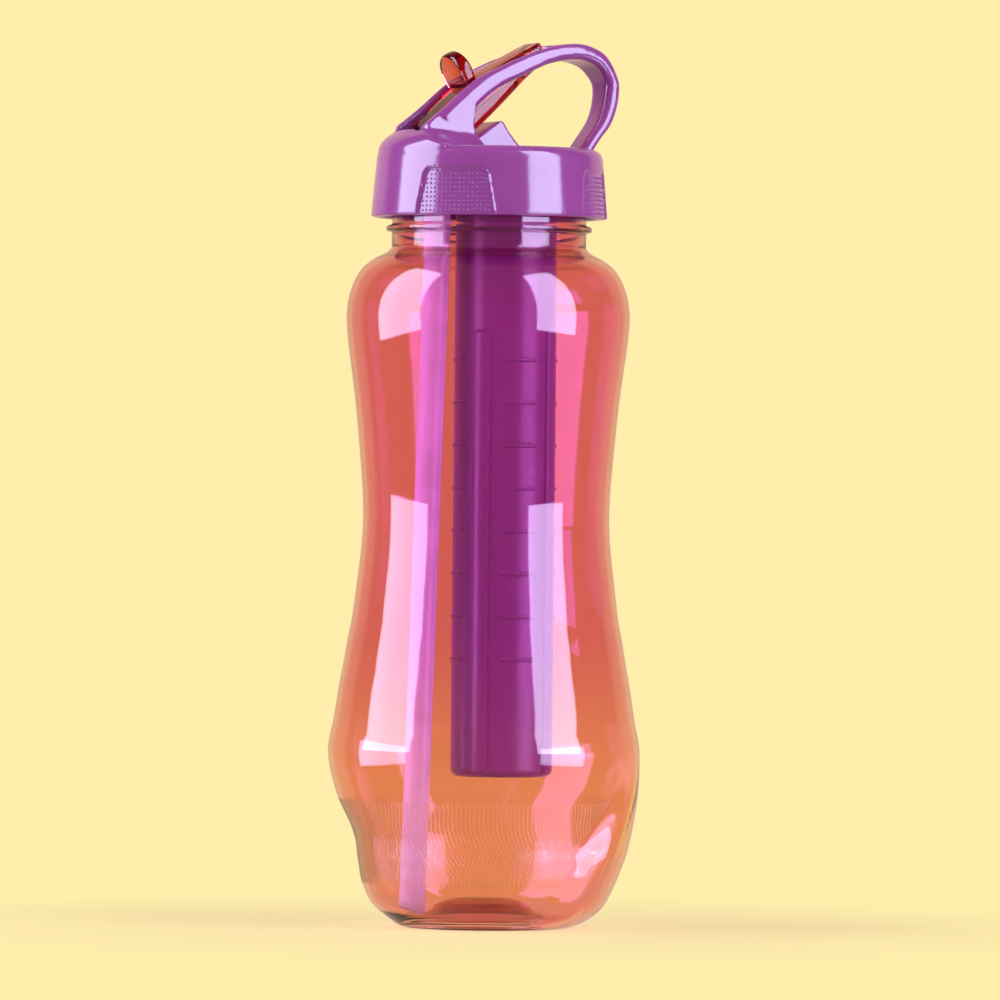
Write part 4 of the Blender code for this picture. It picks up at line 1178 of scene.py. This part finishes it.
def makeFloor():
    bpy.ops.mesh.primitive_circle_add(
        vertices=96, radius=studio["floorRadius"], fill_type="NGON", location=(0, 0, -0.0002)
    )
    floor = bpy.context.object
    floor.name = "floor"
    paint = Paint("pale floor")
    away = paint.node("VectorMath", {"operation": "LENGTH"}, {0: paint.coords()}).other("Value")
    matt = paint.node("BsdfDiffuse", {}, {"Color": studio["floorColour"]})
    glow = paint.blendColours(seenShare(paint), studio["fill"], studio["pale"])
    glow = paint.blendColours(paint.node("LightPath").other("Is Transmission Ray"), glow, studio["through"])
    plain = paint.node("Emission", {}, {"Color": glow, "Strength": 1.0})
    share = paint.span(away, studio["plainFrom"], studio["plainTo"], studio["floorShare"], 1)
    floor.data.materials.append(paint.finish(paint.node("MixShader", {}, {0: share, 1: matt, 2: plain})))
    floor.visible_glossy = False


def makeWorld():
    world = bpy.data.worlds.new("studio")
    bpy.context.scene.world = world
    paint = Paint("studio", world)
    angle = math.radians(look["azimuth"])
    direction = paint.node("TexCoord").other("Generated")
    facing = paint.node(
        "VectorMath",
        {"operation": "DOT_PRODUCT"},
        {0: direction, 1: (-math.sin(angle), math.cos(angle), 0)},
    ).other("Value")
    backdrop = paint.span(facing, *studio["sector"], 0, 1)
    room = paint.blendColours(backdrop, studio["dim"], studio["behind"])
    upward = paint.node("SeparateXYZ", {}, {"Vector": direction}).other("Z")
    room = paint.blendColours(paint.span(upward, *studio["downward"], 1, 0), room, studio["below"])
    path = paint.node("LightPath")
    shown = paint.blendColours(path.other("Is Glossy Ray"), studio["pale"], room)
    shown = paint.blendColours(path.other("Is Transmission Ray"), shown, studio["through"])
    colour = paint.blendColours(seenShare(paint), studio["fill"], shown)
    paint.finish(paint.node("Background", {}, {"Color": colour, "Strength": 1.0}))


# each box: degrees round from the camera's side (right is plus), distance, width, height,
# height of its middle, its light in watts, and how brightly gloss shows it
boxes = {
    "left box": (-77, 0.62, 0.50, 0.97, 0.56, 5.2, 5.6),
    "right box": (57, 0.62, 0.40, 0.97, 0.56, 4.0, 7.4),
    "left strip": (-77, 0.24, 0.19, 0.10, 0.04, 0, 7.6),
    "right strip": (57, 0.24, 0.15, 0.10, 0.04, 0, 9.0),
}
lampColour = (1.0, 0.985, 1.0)
glossColour = (0.50, 0.60, 1.0)
glossAhead = 0.02  # metres from a lamp to the one before it that only gloss shows
look = {
    "azimuth": -27.7,
    "height": 0.1155,
    "distance": 2.3,
    "lens": 306.0,
    "aside": 0.0037,
    "roll": 0.6,
}


def around(degrees, distance, height):
    # a point round the object, in degrees from the camera's side
    angle = math.radians(look["azimuth"] + degrees)
    return Vector((math.sin(angle) * distance, -math.cos(angle) * distance, height))


def makeBox(name, place, size, watts, colour):
    lamp = bpy.data.lights.new(name, "AREA")
    lamp.shape = "RECTANGLE"
    lamp.size = size[0]
    lamp.size_y = size[1]
    lamp.energy = watts
    lamp.color = colour
    box = bpy.data.objects.new(name, lamp)
    bpy.context.scene.collection.objects.link(box)
    box.location = place
    box.rotation_euler = Vector((-place.x, -place.y, 0)).to_track_quat("-Z", "Y").to_euler()
    box.visible_camera = False
    return box


def makeLights():
    for name, (degrees, distance, width, tall, middle, watts, shine) in boxes.items():
        size = (width, tall)
        if watts:
            makeBox(name, around(degrees, distance + glossAhead, middle), size, watts, lampColour)
        glow = shine * math.pi * width * tall
        shown = makeBox(name + " gloss", around(degrees, distance, middle), size, glow, glossColour)
        shown.visible_diffuse = False


def makeCamera():
    data = bpy.data.cameras.new("camera")
    data.lens = look["lens"]
    data.sensor_width = 36
    data.clip_start = 0.05
    data.clip_end = 60
    camera = bpy.data.objects.new("camera", data)
    bpy.context.scene.collection.objects.link(camera)
    angle = math.radians(look["azimuth"])
    sideways = Vector((math.cos(angle), math.sin(angle), 0)) * look["aside"]
    camera.location = around(0, look["distance"], look["height"]) + sideways
    turn = Matrix.Rotation(angle, 4, "Z") @ Matrix.Rotation(math.pi / 2, 4, "X")
    turn = turn @ Matrix.Rotation(math.radians(look["roll"]), 4, "Z")
    camera.rotation_euler = turn.to_euler()
    bpy.context.scene.camera = camera


makeFloor()
makeWorld()
makeLights()
makeCamera()
bpy.context.scene.view_settings.view_transform = "Standard"
print("scene: floor, light and camera ready")
